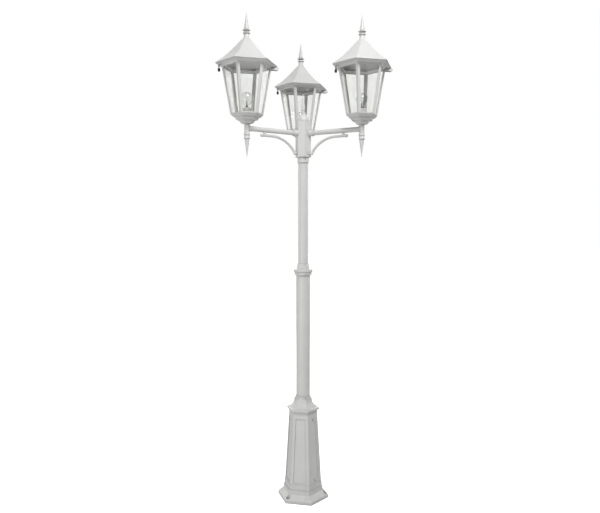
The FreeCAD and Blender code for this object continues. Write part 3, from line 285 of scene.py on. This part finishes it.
def at_head(points, side, turn=0.0):
    """Points turned about the vertical and then moved to a head's axis."""
    angle = HEAD_ANGLE[side]
    return placed(points, ARM_REACH * math.cos(angle), ARM_REACH * math.sin(angle), turn=turn)


def head_grid(points, side, turn=0.0):
    """Points and faces, at a head, of a surface whose last column joins its first."""
    return grid(at_head(points, side, turn), close_columns=True)


def add_piece(name, mesh, body, slot, replaces=(), crisp=35):
    """Finished piece that rides on a body and stands for CAD nodes."""
    piece = bpy.data.objects.new(name, mesh)
    bpy.context.scene.collection.objects.link(piece)
    mesh.materials.append(finishes()[slot])
    mesh.set_sharp_from_angle(angle=math.radians(crisp))
    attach(piece, body)
    if replaces:
        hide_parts(*replaces)
    return piece


# Finishes

class Nodes:
    """Short way to write a material's nodes."""

    def __init__(self, name):
        self.material = bpy.data.materials.new(name)
        self.material.use_nodes = True
        self.tree = self.material.node_tree
        self.tree.nodes.clear()
        self.output = self.add("ShaderNodeOutputMaterial")
        self.place = self.add("ShaderNodeTexCoord").outputs["Object"]

    def add(self, kind, inputs=None, **settings):
        node = self.tree.nodes.new(kind)
        for key, setting in settings.items():
            setattr(node, key, setting)
        for key, source in (inputs or {}).items():
            if isinstance(source, bpy.types.NodeSocket):
                self.tree.links.new(source, node.inputs[key])
            else:
                node.inputs[key].default_value = source
        return node

    def noise(self, scale, detail=2.0, stretch=None):
        """Noise of that many cells to the metre, drawn out where stretch squeezes its coordinates."""
        place = self.place
        if stretch:
            place = self.add("ShaderNodeMapping", {"Vector": place, "Scale": stretch}).outputs[0]
        inputs = {"Vector": place, "Scale": scale, "Detail": detail}
        return self.add("ShaderNodeTexNoise", inputs).outputs["Fac"]

    def ramp(self, source, low, high, start=0.0, end=1.0):
        """Value that runs from start to end as the source runs from low to high."""
        inputs = {"Value": source, "From Min": low, "From Max": high, "To Min": start, "To Max": end}
        return self.add("ShaderNodeMapRange", inputs).outputs["Result"]

    def math(self, operation, *sources):
        return self.add("ShaderNodeMath", dict(enumerate(sources)), operation=operation).outputs[0]

    def blend(self, share, first, second):
        return self.add("ShaderNodeMix", {0: share, 6: first, 7: second}, data_type="RGBA").outputs[2]

    def bump(self, source, depth, normal=None):
        inputs = {"Height": source, "Distance": depth}
        if normal is not None:
            inputs["Normal"] = normal
        return self.add("ShaderNodeBump", inputs).outputs[0]

    def mirror_share(self, least=0.04):
        """Share of light that clear glass mirrors, which is least + (1 - least) times the fifth power
        of the slant, and the slant itself."""
        slant = self.add("ShaderNodeLayerWeight", {"Blend": 0.5}).outputs["Facing"]
        steep = self.math("POWER", slant, 5.0)
        return self.math("MULTIPLY_ADD", steep, 1 - least, least), slant

    def finish(self, shader):
        self.tree.links.new(shader.outputs[0], self.output.inputs["Surface"])
        return self.material


def opaque(colour, share=1.0):
    """Colour times a share, with full alpha."""
    return (*(share * c for c in colour), 1.0)


def powder_coat(name, settings, wear, alone=False):
    """Satin powder coat: orange peel, rounded edges, slow changes of tone, painted shade in the corners,
    faint streaks that run down the metal, and a little splashed grime near the ground. A piece that is
    alone gets no painted shade where its neighbours touch it."""
    n = Nodes(name)
    tone = n.ramp(n.noise(7.0, 3.0), 0.3, 0.7)
    coat = n.blend(tone, opaque(settings.colour), opaque(settings.colour, 0.93))
    streak_share, splash_share, splash_level = 0.16 * wear, 0.25 * wear, 0.10
    run = n.ramp(n.noise(85.0, 3.0, stretch=(1, 1, 0.04)), 0.55, 0.85)
    streaks = n.math("MULTIPLY", run, streak_share)
    height = n.add("ShaderNodeSeparateXYZ", {"Vector": n.place}).outputs["Z"]
    low_down = n.ramp(height, splash_level, 0.0, 0.0, splash_share)
    splash = n.math("MULTIPLY", low_down, n.ramp(n.noise(55.0, 5.0), 0.35, 0.7))
    # Painted shade: ambient occlusion darkens the paint towards the dust colour, in uneven patches, in
    # corners, recesses and between parts
    occlusion = n.add(
        "ShaderNodeAmbientOcclusion", {"Distance": settings.corner}, samples=6, only_local=alone)
    patches = n.ramp(n.noise(40.0, 3.0), 0.3, 0.7, 0.7, 1.0)
    painted_corner_shade = n.math("MULTIPLY", n.ramp(occlusion.outputs["AO"], 0.9, 0.35), patches)
    # Real dust streaks and splashed grime near the ground, together with the painted shade in the corners
    dirt_and_painted_shade = n.math("MAXIMUM", n.math("MAXIMUM", streaks, splash), painted_corner_shade)
    colour = n.blend(dirt_and_painted_shade, coat, opaque(settings.dust))
    shine = n.ramp(n.noise(22.0, 4.0), 0.3, 0.7, settings.roughness - 0.06, settings.roughness + 0.08)
    edge = n.add("ShaderNodeBevel", {"Radius": settings.edge}, samples=4).outputs[0]
    peel = n.bump(n.noise(1.0 / settings.grain, 1.0), 0.00004, edge)
    shader = n.add("ShaderNodeBsdfPrincipled", {
        "Base Color": colour, "Roughness": shine, "Normal": peel, "IOR": 1.5,
        "Coat Weight": 0.1, "Coat Roughness": 0.25})
    return n.finish(shader)


def bare_metal(name, colour, roughness, cells=260.0):
    """Metal with fine brushing and small changes of shine and tint."""
    n = Nodes(name)
    brush = n.noise(cells, 4.0, stretch=(1, 1, 0.12))
    shine = n.ramp(brush, 0.3, 0.7, roughness - 0.08, roughness + 0.12)
    tint = n.blend(n.ramp(n.noise(150.0, 2.0), 0.3, 0.7), opaque(colour), opaque(colour, 0.7))
    shader = n.add("ShaderNodeBsdfPrincipled", {
        "Base Color": tint, "Metallic": 1.0, "Roughness": shine, "Normal": n.bump(brush, 0.00002)})
    return n.finish(shader)


def moulded(name, colour, roughness):
    """Moulded plastic or glazed ceramic with a faint mottle."""
    n = Nodes(name)
    tint = n.blend(n.ramp(n.noise(90.0, 3.0), 0.3, 0.7), opaque(colour), opaque(colour, 0.88))
    shine = n.ramp(n.noise(60.0, 2.0), 0.3, 0.7, roughness - 0.05, roughness + 0.08)
    shader = n.add("ShaderNodeBsdfPrincipled", {
        "Base Color": tint, "Roughness": shine, "Normal": n.bump(n.noise(900.0, 1.0), 0.00002)})
    return n.finish(shader)


def pane_glass(name, settings):
    """Clear pane: slightly wavy, mirror-like at a slant, with an uneven film of dust."""
    n = Nodes(name)
    wave = n.bump(n.noise(14.0, 1.0), 0.0012)
    share, _ = n.mirror_share()
    through = n.add("ShaderNodeBsdfTransparent", {"Color": opaque(settings.pane)})
    gloss = n.add("ShaderNodeBsdfGlossy", {"Color": (1, 1, 1, 1), "Roughness": 0.03, "Normal": wave})
    clean = n.add("ShaderNodeMixShader", {0: share, 1: through.outputs[0], 2: gloss.outputs[0]})
    dust = n.add("ShaderNodeBsdfDiffuse", {"Color": (0.9, 0.9, 0.87, 1.0)})
    film = n.ramp(n.noise(24.0, 5.0, stretch=(1, 1, 0.35)), 0.3, 0.8, settings.film * 0.3, settings.film * 2)
    return n.finish(n.add("ShaderNodeMixShader", {0: film, 1: clean.outputs[0], 2: dust.outputs[0]}))


def bulb_glass(name):
    """Thin blown glass, nearly clear face on and dark at its limb: mostly painted shade for the dark that
    real curved glass bends into view, with a little true darkening where the light crosses more of it.
    """
    n = Nodes(name)
    share, slant = n.mirror_share()
    # Painted shade: the light let through darkens towards the limb, in place of the refraction that this
    # clear shader lacks
    limb = n.ramp(n.math("POWER", slant, 3.0), 0.15, 0.9)
    tint = n.blend(limb, (0.97, 0.975, 0.965, 1.0), (0.30, 0.31, 0.30, 1.0))
    through = n.add("ShaderNodeBsdfTransparent", {"Color": tint})
    ripple = n.bump(n.noise(45.0, 1.0), 0.0004)
    gloss = n.add("ShaderNodeBsdfGlossy", {"Color": (1, 1, 1, 1), "Roughness": 0.02, "Normal": ripple})
    return n.finish(n.add("ShaderNodeMixShader", {0: share, 1: through.outputs[0], 2: gloss.outputs[0]}))


def finishes():
    """The record's material slots and their materials, and the cages' own coat."""
    paint = bpy.context.scene.lamp_post_paint
    glass = bpy.context.scene.lamp_post_glass
    makers = {
        "white_casting": lambda name: powder_coat(name, paint, 1.0),
        "white_tube": lambda name: powder_coat(name, paint, 0.6),
        "white_cage": lambda name: powder_coat(name, paint, 0.8, alone=True),
        "steel_fixings": lambda name: bare_metal(name, (0.56, 0.57, 0.57), 0.35),
        "dark_steel": lambda name: bare_metal(name, (0.06, 0.06, 0.065), 0.42),
        "lamp_cap_metal": lambda name: bare_metal(name, (0.66, 0.64, 0.58), 0.25),
        "holder_plastic": lambda name: moulded(name, (0.66, 0.66, 0.62), 0.38),
        "terminal_plastic": lambda name: moulded(name, (0.05, 0.05, 0.05), 0.5),
        "pane_glass": lambda name: pane_glass(name, glass),
        "lamp_glass": bulb_glass,
    }
    for slot, maker in makers.items():
        if slot + "_finish" not in bpy.data.materials:
            maker(slot + "_finish")
    return {slot: bpy.data.materials[slot + "_finish"] for slot in makers}


# Operators

class LAMPPOST_OT_finish_castings(Operator):
    """Give every carried-over piece the finish of its material slot, and the cages their own coat"""
    bl_idname = "lamp_post.finish_castings"
    bl_label = "Finish Castings"

    def execute(self, context):
        made = finishes()
        slots = {entry["node"]: entry["material_slot"] for entry in frame["record"]["subparts"]}
        for node, piece in frame["nodes"].items():
            for socket in piece.material_slots:
                socket.material = made["white_cage" if node.startswith("lantern_cage") else slots[node]]
        return {"FINISHED"}


class LAMPPOST_OT_roofs(Operator):
    """Flared roofs with soft hips, a rounded brim, the hinge lug and the boss of the thumb screw"""
    bl_idname = "lamp_post.roofs"
    bl_label = "Roofs"

    def execute(self, context):
        hip = context.scene.lamp_post_casting.hip / MM
        lug_half, lug_edge = 5, 0.6
        surfaces = [
            six_sided(self.skin_outline(), hip),
            slab(self.lug_outline(), -lug_half, lug_half, lug_edge),
            placed(lathe(self.boss_outline(), 24), x=-CATCH_REACH),
        ]
        for side in HEAD_ANGLE:
            parts = [head_grid(points, side, LANTERN_TURN) for points in surfaces]
            add_piece("roof_" + side + "_skin", mesh_of("roof_skin_" + side, *parts), "roof_body_" + side,
                      "white_casting", ["roof_" + side], crisp=50)
        return {"FINISHED"}

    def skin_outline(self):
        """Up the inside, which is closed on the axis, round the brim's edge and up the outside."""
        brim, ceiling = ROOF_FOOT + 4, SEAM - 6
        outer = flowing([(ROOF_CORNER, brim), (117, brim + 22), (86.5, brim + 48.5), (56, brim + 79.5),
                         (25, SEAM)])
        inner = flowing([(145.5, ROOF_FOOT), (131, ROOF_FOOT + 11.3), (108, brim + 20), (78, brim + 45),
                         (48, brim + 76), (17, ceiling)])
        edge = eased([(145.5, ROOF_FOOT), (ROOF_CORNER, ROOF_FOOT), (ROOF_CORNER, brim), (117, brim + 22)],
                     1.2, steps=3)
        return np.vstack(([(0, ceiling)], inner[::-1], edge[1:-1], outer[1:], [(0, SEAM)]))

    def lug_outline(self):
        """Knuckle round the hinge's axis and a web up into the roof."""
        knuckle_radius = 6
        knuckle = arc((HINGE_REACH, HINGE_LEVEL), knuckle_radius, -180, 40, steps=24)
        web = [(ROOF_CORNER, HINGE_LEVEL + 9), (148.5, ROOF_FOOT + 3), (138, ROOF_FOOT + 8)]
        return np.vstack((knuckle, web))[::-1]

    def boss_outline(self):
        """Round boss with a blind hole that the thumb screw rises into."""
        bore, radius = 2.9, 6
        hole_end, lid = ROOF_FOOT + 10.6, ROOF_FOOT + 11.4
        return [(0, hole_end), (bore, hole_end), (bore, ROOF_FOOT + 0.4), (bore + 0.4, ROOF_FOOT),
                (radius - 0.8, ROOF_FOOT), (radius, ROOF_FOOT + 1), (radius, lid), (0, lid)]


class LAMPPOST_OT_finials(Operator):
    """Turned finials above the roofs, below the stems and on the hub, and the domed hub cap"""
    bl_idname = "lamp_post.finials"
    bl_label = "Finials"

    def execute(self, context):
        soft = context.scene.lamp_post_casting.softness / MM
        roof, drop = lathe(self.roof_outline(soft), 48), lathe(self.drop_outline(soft), 48)
        for side in HEAD_ANGLE:
            self.add("finial_" + side, head_grid(roof, side), "roof_body_" + side, "roof_finial_" + side)
            self.add("drop_" + side, head_grid(drop, side), "post", "drop_finial_" + side)
        spire, dome = lathe(self.hub_outline(soft)), lathe(self.dome_outline())
        self.add("hub_spire", grid(spire, close_columns=True), "post", "hub_finial")
        self.add("hub_dome", grid(dome, close_columns=True), "post", "hub_cap")
        return {"FINISHED"}

    def add(self, name, surface, body, node):
        add_piece(name, mesh_of(name, surface), body, "white_casting", [node], crisp=60)

    def spike(self, radius, foot, tip):
        """Slender spike: its radius is radius (1 - t)^1.08 + 1.2 t, for t from 0 at its foot to 1 at
        its tip."""
        power, blunt = 1.08, 1.2
        t = np.linspace(0, 1, 14)
        taper = radius * (1 - t) ** power + blunt * t
        return np.stack((taper, foot + (tip - foot) * t), axis=-1)

    def roof_outline(self, soft):
        """Bell, collar, neck, flange and spike, from the seam up."""
        bell_radius = 40
        bell = arc((51.95, SEAM + 25.94), bell_radius, 220.4, 177.05, steps=12)
        turned = eased([
            (12, SEAM + 28), (16, SEAM + 28), (18, SEAM + 30.5), (17.6, SEAM + 33.5), (9.5, SEAM + 36.5),
            (9.5, SEAM + 42), (18.4, SEAM + 43.2), (19, SEAM + 46), (11, SEAM + 47.2), (12, SEAM + 52)], soft)
        spike = self.spike(11.9, SEAM + 54, SEAM + 127)
        return np.vstack(([(0, SEAM)], [(21.5, SEAM)], bell[1:-1], turned, spike, [(0, SEAM + 127.7)]))

    def drop_outline(self, soft):
        """Two beads with a groove between them and a spike, written from the tip up."""
        turned = eased([
            (11, STEM_FOOT - 32), (10.5, STEM_FOOT - 27), (15.3, STEM_FOOT - 25.6), (16, STEM_FOOT - 22.5),
            (15, STEM_FOOT - 19), (12.6, STEM_FOOT - 16.5), (12.6, STEM_FOOT - 10.5), (15.2, STEM_FOOT - 8.5),
            (16, STEM_FOOT - 5), (15, STEM_FOOT - 2), (13.4, STEM_FOOT)], soft)
        spike = self.spike(11.4, STEM_FOOT - 34, STEM_FOOT - 108.4)[::-1]
        return np.vstack(([(0, STEM_FOOT - 109)], spike, turned, [(0, STEM_FOOT)]))

    def hub_outline(self, soft):
        """Collar, neck, bead and spike on the dome."""
        turned = eased([
            (9, HUB_CROWN), (11.6, HUB_CROWN + 2.5), (12, HUB_CROWN + 5), (11, HUB_CROWN + 7.4),
            (7.4, HUB_CROWN + 10), (7.2, HUB_CROWN + 14), (10, HUB_CROWN + 16.6), (10.5, HUB_CROWN + 19.5),
            (9.8, HUB_CROWN + 22.4), (7.6, HUB_CROWN + 24), (9.3, HUB_CROWN + 29)], soft)
        spike = self.spike(9.4, HUB_CROWN + 31, HUB_CROWN + 99.4)
        return np.vstack(([(0, HUB_CROWN - 2)], [(9, HUB_CROWN - 2)], turned, spike, [(0, HUB_CROWN + 100)]))

    def dome_outline(self):
        """Spigot in the hub, a bead on its rim and an ogee dome."""
        spigot, spigot_depth, bead_radius = 29.8, 8, 2.5
        foot = [(0, HUB_TOP - spigot_depth), (spigot, HUB_TOP - spigot_depth), (spigot, HUB_TOP)]
        bead = arc((31, HUB_TOP + bead_radius), bead_radius, -90, 90, steps=8)
        dome = flowing([(30.6, HUB_TOP + 5), (30.0, HUB_TOP + 12), (27.2, HUB_TOP + 20), (22, HUB_TOP + 28),
                        (15.6, HUB_TOP + 34.6), (11, HUB_TOP + 38.6), (10, HUB_CROWN)])
        return np.vstack((foot, bead, dome, [(0, HUB_CROWN)]))


class LAMPPOST_OT_dishes(Operator):
    """Stepped dishes below the lanterns, with rounded mouldings and a hollow for the lampholder"""
    bl_idname = "lamp_post.dishes"
    bl_label = "Dishes"

    def execute(self, context):
        hip = 3.0
        for side in HEAD_ANGLE:
            surface = head_grid(six_sided(self.outline(), hip), side, LANTERN_TURN)
            add_piece("dish_" + side, mesh_of("dish_" + side, surface), "post", "white_casting",
                      ["bottom_dish_" + side], crisp=40)
        return {"FINISHED"}

    def outline(self):
        """Cup, band and lip up the outside, then down the hollow to its floor."""
        foot, floor, top = DISH_FOOT, DISH_FOOT + 19, DISH_FOOT + 42
        rim, hollow = 79, 46
        cup = flowing([(27, foot + 0.6), (32, foot + 4), (36.5, foot + 9), (39.6, foot + 15)], steps=4)
        band = flowing([(50.4, foot + 16), (53.6, foot + 18.4), (55.6, foot + 22), (56.6, foot + 27.4)],
                       steps=4)
        lip = flowing([(62.4, foot + 28), (67.5, foot + 31), (72.6, foot + 35.4), (77.6, foot + 39.6)],
                      steps=4)
        cavity = eased([(hollow, top), (hollow, foot + 20), (40, foot + 19.4), (5.2, floor)], 2)
        return np.vstack((
            [(0, foot)], [(26, foot)], cup, [(40, foot + 15.9)], band, [(57, foot + 28)], lip,
            [(rim, foot + 40), (rim, foot + 41.6), (rim - 0.4, top)], cavity, [(0, floor)]))


class LAMPPOST_OT_weld_beads(Operator):
    """Rippled beads where the arms meet the stems and the hub's bosses"""
    bl_idname = "lamp_post.weld_beads"
    bl_label = "Weld Beads"

    def execute(self, context):
        """On the stem a bead follows x = ARM_REACH - sqrt(stem^2 - y^2), and on the boss a circle."""
        at_arm, stem, at_boss, boss_end = 12.6, 13.6, 12.9, 58.9
        bead, ripples, ripple_depth = 1.9, 34, 0.12
        a = np.linspace(0, 2 * math.pi, 120, endpoint=False)
        radius = bead * (1 + ripple_depth * np.cos(ripples * a))
        y, z = at_arm * np.cos(a), ARM + at_arm * np.sin(a)
        on_stem = np.stack((ARM_REACH - np.sqrt(np.maximum(stem ** 2 - y ** 2, 1.0)), y, z), axis=-1)
        on_boss = np.stack(
            (np.full_like(a, boss_end), at_boss * np.cos(a), ARM + at_boss * np.sin(a)), axis=-1)
        beads = [swept(path, radius, reference=(1, 0, 0), steps=10, closed=True)
                 for path in (on_stem, on_boss)]
        for side, angle in HEAD_ANGLE.items():
            rings = [grid(placed(ring, turn=angle), close_rows=True, close_columns=True) for ring in beads]
            add_piece("weld_" + side, mesh_of("weld_" + side, *rings), "post", "white_tube", crisp=80)
        return {"FINISHED"}


class LAMPPOST_OT_lamps(Operator):
    """Clear round lamps with a filament on its supports, the screw caps and the lampholders"""
    bl_idname = "lamp_post.lamps"
    bl_label = "Lamps"

    def execute(self, context):
        for side in HEAD_ANGLE:
            self.add(side, "bulb", [self.bulb()], "lamp_glass", ["lamp_bulb"])
            self.add(side, "mount", [self.mount()], "lamp_glass")
            self.add(side, "filament", self.wires(), "steel_fixings")
            self.add(side, "screw_cap", [self.cap()], "lamp_cap_metal", ["lamp_cap"])
            self.add(side, "holder", [self.holder()], "holder_plastic", ["lampholder"])
        return {"FINISHED"}

    def add(self, side, name, surfaces, slot, nodes=()):
        grids = [head_grid(points, side) for points in surfaces]
        add_piece(name + "_" + side, mesh_of(name + "_" + side, *grids), "post", slot,
                  [node + "_" + side for node in nodes], crisp=60)

    def bulb(self):
        """Sphere on a flared neck, with a thin wall: down the inside, and then up the outside."""
        radius, wall = 30, 0.8
        neck = flowing([(12.8, LAMP_FOOT), (13.2, LAMP_FOOT + 5), (15.4, LAMP_FOOT + 14)], steps=5)
        outside = np.vstack((neck, arc((0, LAMP_CENTRE), radius, -52, 90, steps=28)))
        outside[-1, 0] = 0
        inside = outside - np.stack((np.minimum(wall, outside[:, 0]), np.zeros(len(outside))), axis=-1)
        inside[-1, 1] -= wall
        return lathe(np.vstack((inside[::-1], outside)), 48)

    def mount(self):
        """Glass stem in the bulb that carries the supports."""
        rod = 2.6
        return lathe(eased([
            (0, LAMP_FOOT + 1), (9, LAMP_FOOT + 1), (5.5, LAMP_FOOT + 8), (rod, LAMP_FOOT + 16),
            (rod, LAMP_FOOT + 27), (3.6, LAMP_FOOT + 30), (0, LAMP_FOOT + 31)], 1.5), 24)

    def wires(self):
        """Two leads that lean outwards, two thin hooks, and a filament between the leads: a coil about
        an arc that lies level."""
        lead, hook, wire = 0.45, 0.25, 0.16
        level, turns, coil_radius = LAMP_FOOT + 51, 60, 0.55
        leads = [
            swept(flowing([(0.8 * s, 0, LAMP_FOOT + 20), (1.6 * s, 0, LAMP_FOOT + 32),
                           (6 * s, 1, LAMP_FOOT + 42), (11 * s, 4, level)]),
                  lead, reference=(0, 1, 0), steps=8)
            for s in (-1, 1)]
        hooks = [
            swept(flowing([(0, 0, LAMP_FOOT + 29), (2.5 * s, -3, LAMP_FOOT + 40),
                           (4.5 * s, -6.5, level - 1)]),
                  hook, reference=(0, 1, 0), steps=6)
            for s in (-1, 1)]
        t = np.linspace(0, 1, 700)
        turn = 2 * math.pi * turns * t
        bow = np.radians(200 + 140 * t)
        line = np.stack(
            (11.7 * np.cos(bow), 4 + 10.5 * (np.sin(bow) + 0.34), np.full_like(t, level)), axis=-1)
        coil = line + coil_radius * np.stack((np.zeros_like(t), np.cos(turn), np.sin(turn)), axis=-1)
        return leads + hooks + [swept(coil, wire, reference=(0.3, 0.2, 1), steps=5)]

    def cap(self):
        """Screw cap: its radius is 12.8 + 0.5 cos(turn - 2 pi height / pitch), so the thread climbs. It
        fades out at the thread's ends."""
        radius, depth, pitch = 12.8, 0.5, 3.6
        low, high, top = CAP_FOOT + 5.8, LAMP_FOOT - 3, LAMP_FOOT - 0.2
        levels = 73
        outline = eased([(0, CAP_FOOT), (5, CAP_FOOT), (6.5, CAP_FOOT + 1.8), (11.5, CAP_FOOT + 4),
                         (radius, low)], 0.6)
        z = np.concatenate((outline[:, 1], np.linspace(low + 1, high - 1, levels), [high, top, top]))
        r = np.concatenate((outline[:, 0], np.full(levels, radius), [radius + 0.1, radius + 0.1, 0]))
        points = lathe(np.stack((r, z), axis=-1), 48)
        a = np.linspace(0, 2 * math.pi, 48, endpoint=False)[None]
        fade = np.clip(np.minimum(z - low, high - z) / 2, 0, 1)[:, None] * (r[:, None] > 12)
        swell = 1 + fade * depth / radius * np.cos(a - 2 * math.pi * z[:, None] / pitch)
        points[..., :2] *= swell[..., None]
        return points

    def holder(self):
        """Lampholder: a foot, a body with one shallow groove, and a deep socket."""
        foot, top = HOLDER_FOOT, HOLDER_FOOT + 47.6
        body, groove, socket = 20.5, 19.7, 13.7
        return lathe(eased([
            (0, foot), (12.6, foot), (13.6, foot + 2.8), (19.6, foot + 7.2), (body, foot + 10.8),
            (body, foot + 29.8), (groove, foot + 30.8), (groove, foot + 33.8), (body, foot + 34.8),
            (body, top - 2.2), (18.8, top), (15.4, top), (socket + 0.1, top - 1.8), (socket, CAP_FOOT),
            (0, CAP_FOOT)], 1.2), 48)


class LAMPPOST_OT_fixings(Operator):
    """Knurled thumb screws and the pins of the roof hinges"""
    bl_idname = "lamp_post.fixings"
    bl_label = "Fixings"

    def execute(self, context):
        for side in HEAD_ANGLE:
            screw = head_grid(placed(self.thumb_screw(), x=-CATCH_REACH), side, LANTERN_TURN)
            add_piece("thumb_screw_" + side, mesh_of("thumb_screw_" + side, screw),
                      "catch_body_" + side, "dark_steel", ["catch_screw_" + side], crisp=40)
            pin = head_grid(self.pin(), side, LANTERN_TURN)
            add_piece("pin_" + side, mesh_of("pin_" + side, pin),
                      "post", "steel_fixings", ["hinge_pin_" + side], crisp=40)
        return {"FINISHED"}

    def thumb_screw(self):
        """Shank with a knurled knob: the knob's radius is 5.7 (1 + 0.05 cos(20 turn)), faded at its
        ends."""
        shank_radius, knob_radius, neck = 2.45, 5.7, 4.6
        ridges, depth, steps = 20, 0.05, 160
        knob_top = KNOB_FOOT + 14.8
        knob = eased([(0, KNOB_FOOT), (4.2, KNOB_FOOT), (knob_radius, KNOB_FOOT + 1.4),
                      (knob_radius, knob_top - 1.4), (neck, knob_top), (shank_radius, knob_top)], 0.6)
        shank = eased([(shank_radius, knob_top + 0.4), (shank_radius, CATCH_TIP - 1), (1.8, CATCH_TIP),
                       (0, CATCH_TIP)], 0.3)
        outline = np.vstack((knob, shank))
        points = lathe(outline, steps)
        a = np.linspace(0, 2 * math.pi, steps, endpoint=False)[None]
        fade = np.clip((outline[:, 0] - neck) / 1.0, 0, 1)[:, None]
        points[..., :2] *= (1 + fade * depth * np.cos(ridges * a))[..., None]
        return points

    def pin(self):
        """Pin along Y with domed ends."""
        radius, half = 2.0, 11.6
        upright = lathe(eased([
            (0, -half), (1.4, 0.1 - half), (radius, 0.7 - half), (radius, half - 0.7), (1.4, half - 0.1),
            (0, half)], 0.4), 24)
        x, y, z = upright[..., 0], upright[..., 1], upright[..., 2]
        return np.stack((x + HINGE_REACH, z, HINGE_LEVEL - y), axis=-1)


class LAMPPOST_OT_stage(Operator):
    """Floor, soft light and the camera"""
    bl_idname = "lamp_post.stage"
    bl_label = "Stage"

    def execute(self, context):
        stage = context.scene.lamp_post_stage
        self.floor(stage)
        self.surroundings(context, stage)
        self.lights(stage)
        self.camera(context, stage)
        return {"FINISHED"}

    def floor(self, stage):
        """Level sheet half a millimetre below the foot flange: x and y run from -30 to 30 m. It looks
        white, but sends little light up."""
        reach, level = 30000, -0.5
        n = Nodes("floor_paper")
        tint = n.blend(n.ramp(n.noise(3.0, 2.0), 0.3, 0.7), opaque(stage.floor), opaque(stage.floor, 0.98))
        seen = n.add("ShaderNodeBsdfPrincipled", {
            "Base Color": tint, "Roughness": 0.9, "Specular IOR Level": 0.1,
            "Emission Color": (1, 1, 1, 1), "Emission Strength": 0.85})
        dim = n.add("ShaderNodeBsdfDiffuse", {"Color": opaque(stage.floor, 0.75)})
        ray = n.add("ShaderNodeLightPath").outputs["Is Camera Ray"]
        n.finish(n.add("ShaderNodeMixShader", {0: ray, 1: dim.outputs[0], 2: seen.outputs[0]}))
        x, y = np.meshgrid(np.linspace(-reach, reach, 9), np.linspace(-reach, reach, 9))
        mesh = mesh_of("floor", grid(np.stack((x, y, np.full_like(x, level)), axis=-1)))
        mesh.materials.append(n.material)
        floor = bpy.data.objects.new("floor", mesh)
        bpy.context.scene.collection.objects.link(floor)

    def surroundings(self, context, stage):
        """White to the eye and in reflections, and an even, weaker light on the object."""
        world = bpy.data.worlds.new("white_studio")
        context.scene.world = world
        world.use_nodes = True
        tree = world.node_tree
        tree.nodes.clear()
        seen, light = (tree.nodes.new("ShaderNodeBackground") for _ in range(2))
        seen.inputs["Strength"].default_value = 1.0
        light.inputs["Strength"].default_value = stage.ambient
        for background in (seen, light):
            background.inputs["Color"].default_value = (1, 1, 1, 1)
        mix = tree.nodes.new("ShaderNodeMixShader")
        ray = tree.nodes.new("ShaderNodeLightPath")
        white = tree.nodes.new("ShaderNodeMath")
        white.operation = "MAXIMUM"
        tree.links.new(ray.outputs["Is Camera Ray"], white.inputs[0])
        tree.links.new(ray.outputs["Is Glossy Ray"], white.inputs[1])
        tree.links.new(white.outputs[0], mix.inputs[0])
        tree.links.new(light.outputs[0], mix.inputs[1])
        tree.links.new(seen.outputs[0], mix.inputs[2])
        output = tree.nodes.new("ShaderNodeOutputWorld")
        tree.links.new(mix.outputs[0], output.inputs["Surface"])

    def lights(self, stage):
        """High light on the lanterns, low light on the pedestal, broad weak ones round the back."""
        for name, place, aim, size, power in (
                ("high", (0.8, -2.1, 4.0), (0, 0, 2.1), 1.0, stage.key),
                ("low", (-1.9, -2.4, 0.9), (0, 0, 0.4), 1.2, stage.key * 0.36),
                ("left", (-3.4, 1.6, 1.6), (0, 0, 1.3), 1.8, stage.key * 0.35),
                ("right", (3.4, 1.6, 1.6), (0, 0, 1.3), 1.8, stage.key * 0.35),
                ("back", (0.4, 4.2, 2.8), (0, 0, 1.4), 2.4, stage.key * 0.7)):
            lamp = bpy.data.lights.new(name, "AREA")
            lamp.size = size
            lamp.energy = power
            holder = bpy.data.objects.new(name, lamp)
            holder.visible_camera = False
            bpy.context.scene.collection.objects.link(holder)
            turn = (Vector(aim) - Vector(place)).to_track_quat("-Z", "Y").to_matrix().to_4x4()
            holder.matrix_world = Matrix.Translation(place) @ turn

    def camera(self, context, stage):
        data = bpy.data.cameras.new("camera")
        data.sensor_width = 36.0
        data.lens = stage.lens
        data.clip_end = 200
        camera = bpy.data.objects.new("camera", data)
        context.scene.collection.objects.link(camera)
        turn = Vector(stage.aim).to_track_quat("-Z", "Y").to_matrix().to_4x4()
        camera.matrix_world = Matrix.Translation(stage.position) @ turn
        context.scene.camera = camera
        context.scene.view_settings.view_transform = "Standard"


class LAMPPOST_PT_panel(Panel):
    """Lists the steps and the sizes and colours that may be changed"""
    bl_idname = "LAMPPOST_PT_panel"
    bl_label = "Lamp Post"
    bl_space_type = "VIEW_3D"
    bl_region_type = "UI"
    bl_category = "Lamp Post"

    def draw(self, context):
        for group in GROUPS:
            settings = getattr(context.scene, group)
            box = self.layout.box()
            for name in settings.__annotations__:
                box.prop(settings, name)
        for operator in STEPS:
            self.layout.operator(operator.bl_idname)


GROUPS = {
    "lamp_post_paint": PaintSettings,
    "lamp_post_casting": CastingSettings,
    "lamp_post_glass": GlassSettings,
    "lamp_post_stage": StageSettings,
}
STEPS = (
    LAMPPOST_OT_finish_castings,
    LAMPPOST_OT_roofs,
    LAMPPOST_OT_finials,
    LAMPPOST_OT_dishes,
    LAMPPOST_OT_weld_beads,
    LAMPPOST_OT_lamps,
    LAMPPOST_OT_fixings,
    LAMPPOST_OT_stage,
)
CLASSES = (*GROUPS.values(), *STEPS, LAMPPOST_PT_panel)


def register():
    for item in CLASSES:
        bpy.utils.register_class(item)
    for name, group in GROUPS.items():
        setattr(bpy.types.Scene, name, PointerProperty(type=group))


def unregister():
    for name in GROUPS:
        delattr(bpy.types.Scene, name)
    for item in reversed(CLASSES):
        bpy.utils.unregister_class(item)


def main():
    register()
    bpy.ops.lamp_post.finish_castings()
    bpy.ops.lamp_post.roofs()
    bpy.ops.lamp_post.finials()
    bpy.ops.lamp_post.dishes()
    bpy.ops.lamp_post.weld_beads()
    bpy.ops.lamp_post.lamps()
    bpy.ops.lamp_post.fixings()
    bpy.ops.lamp_post.stage()


if __name__ == "__main__":
    main()
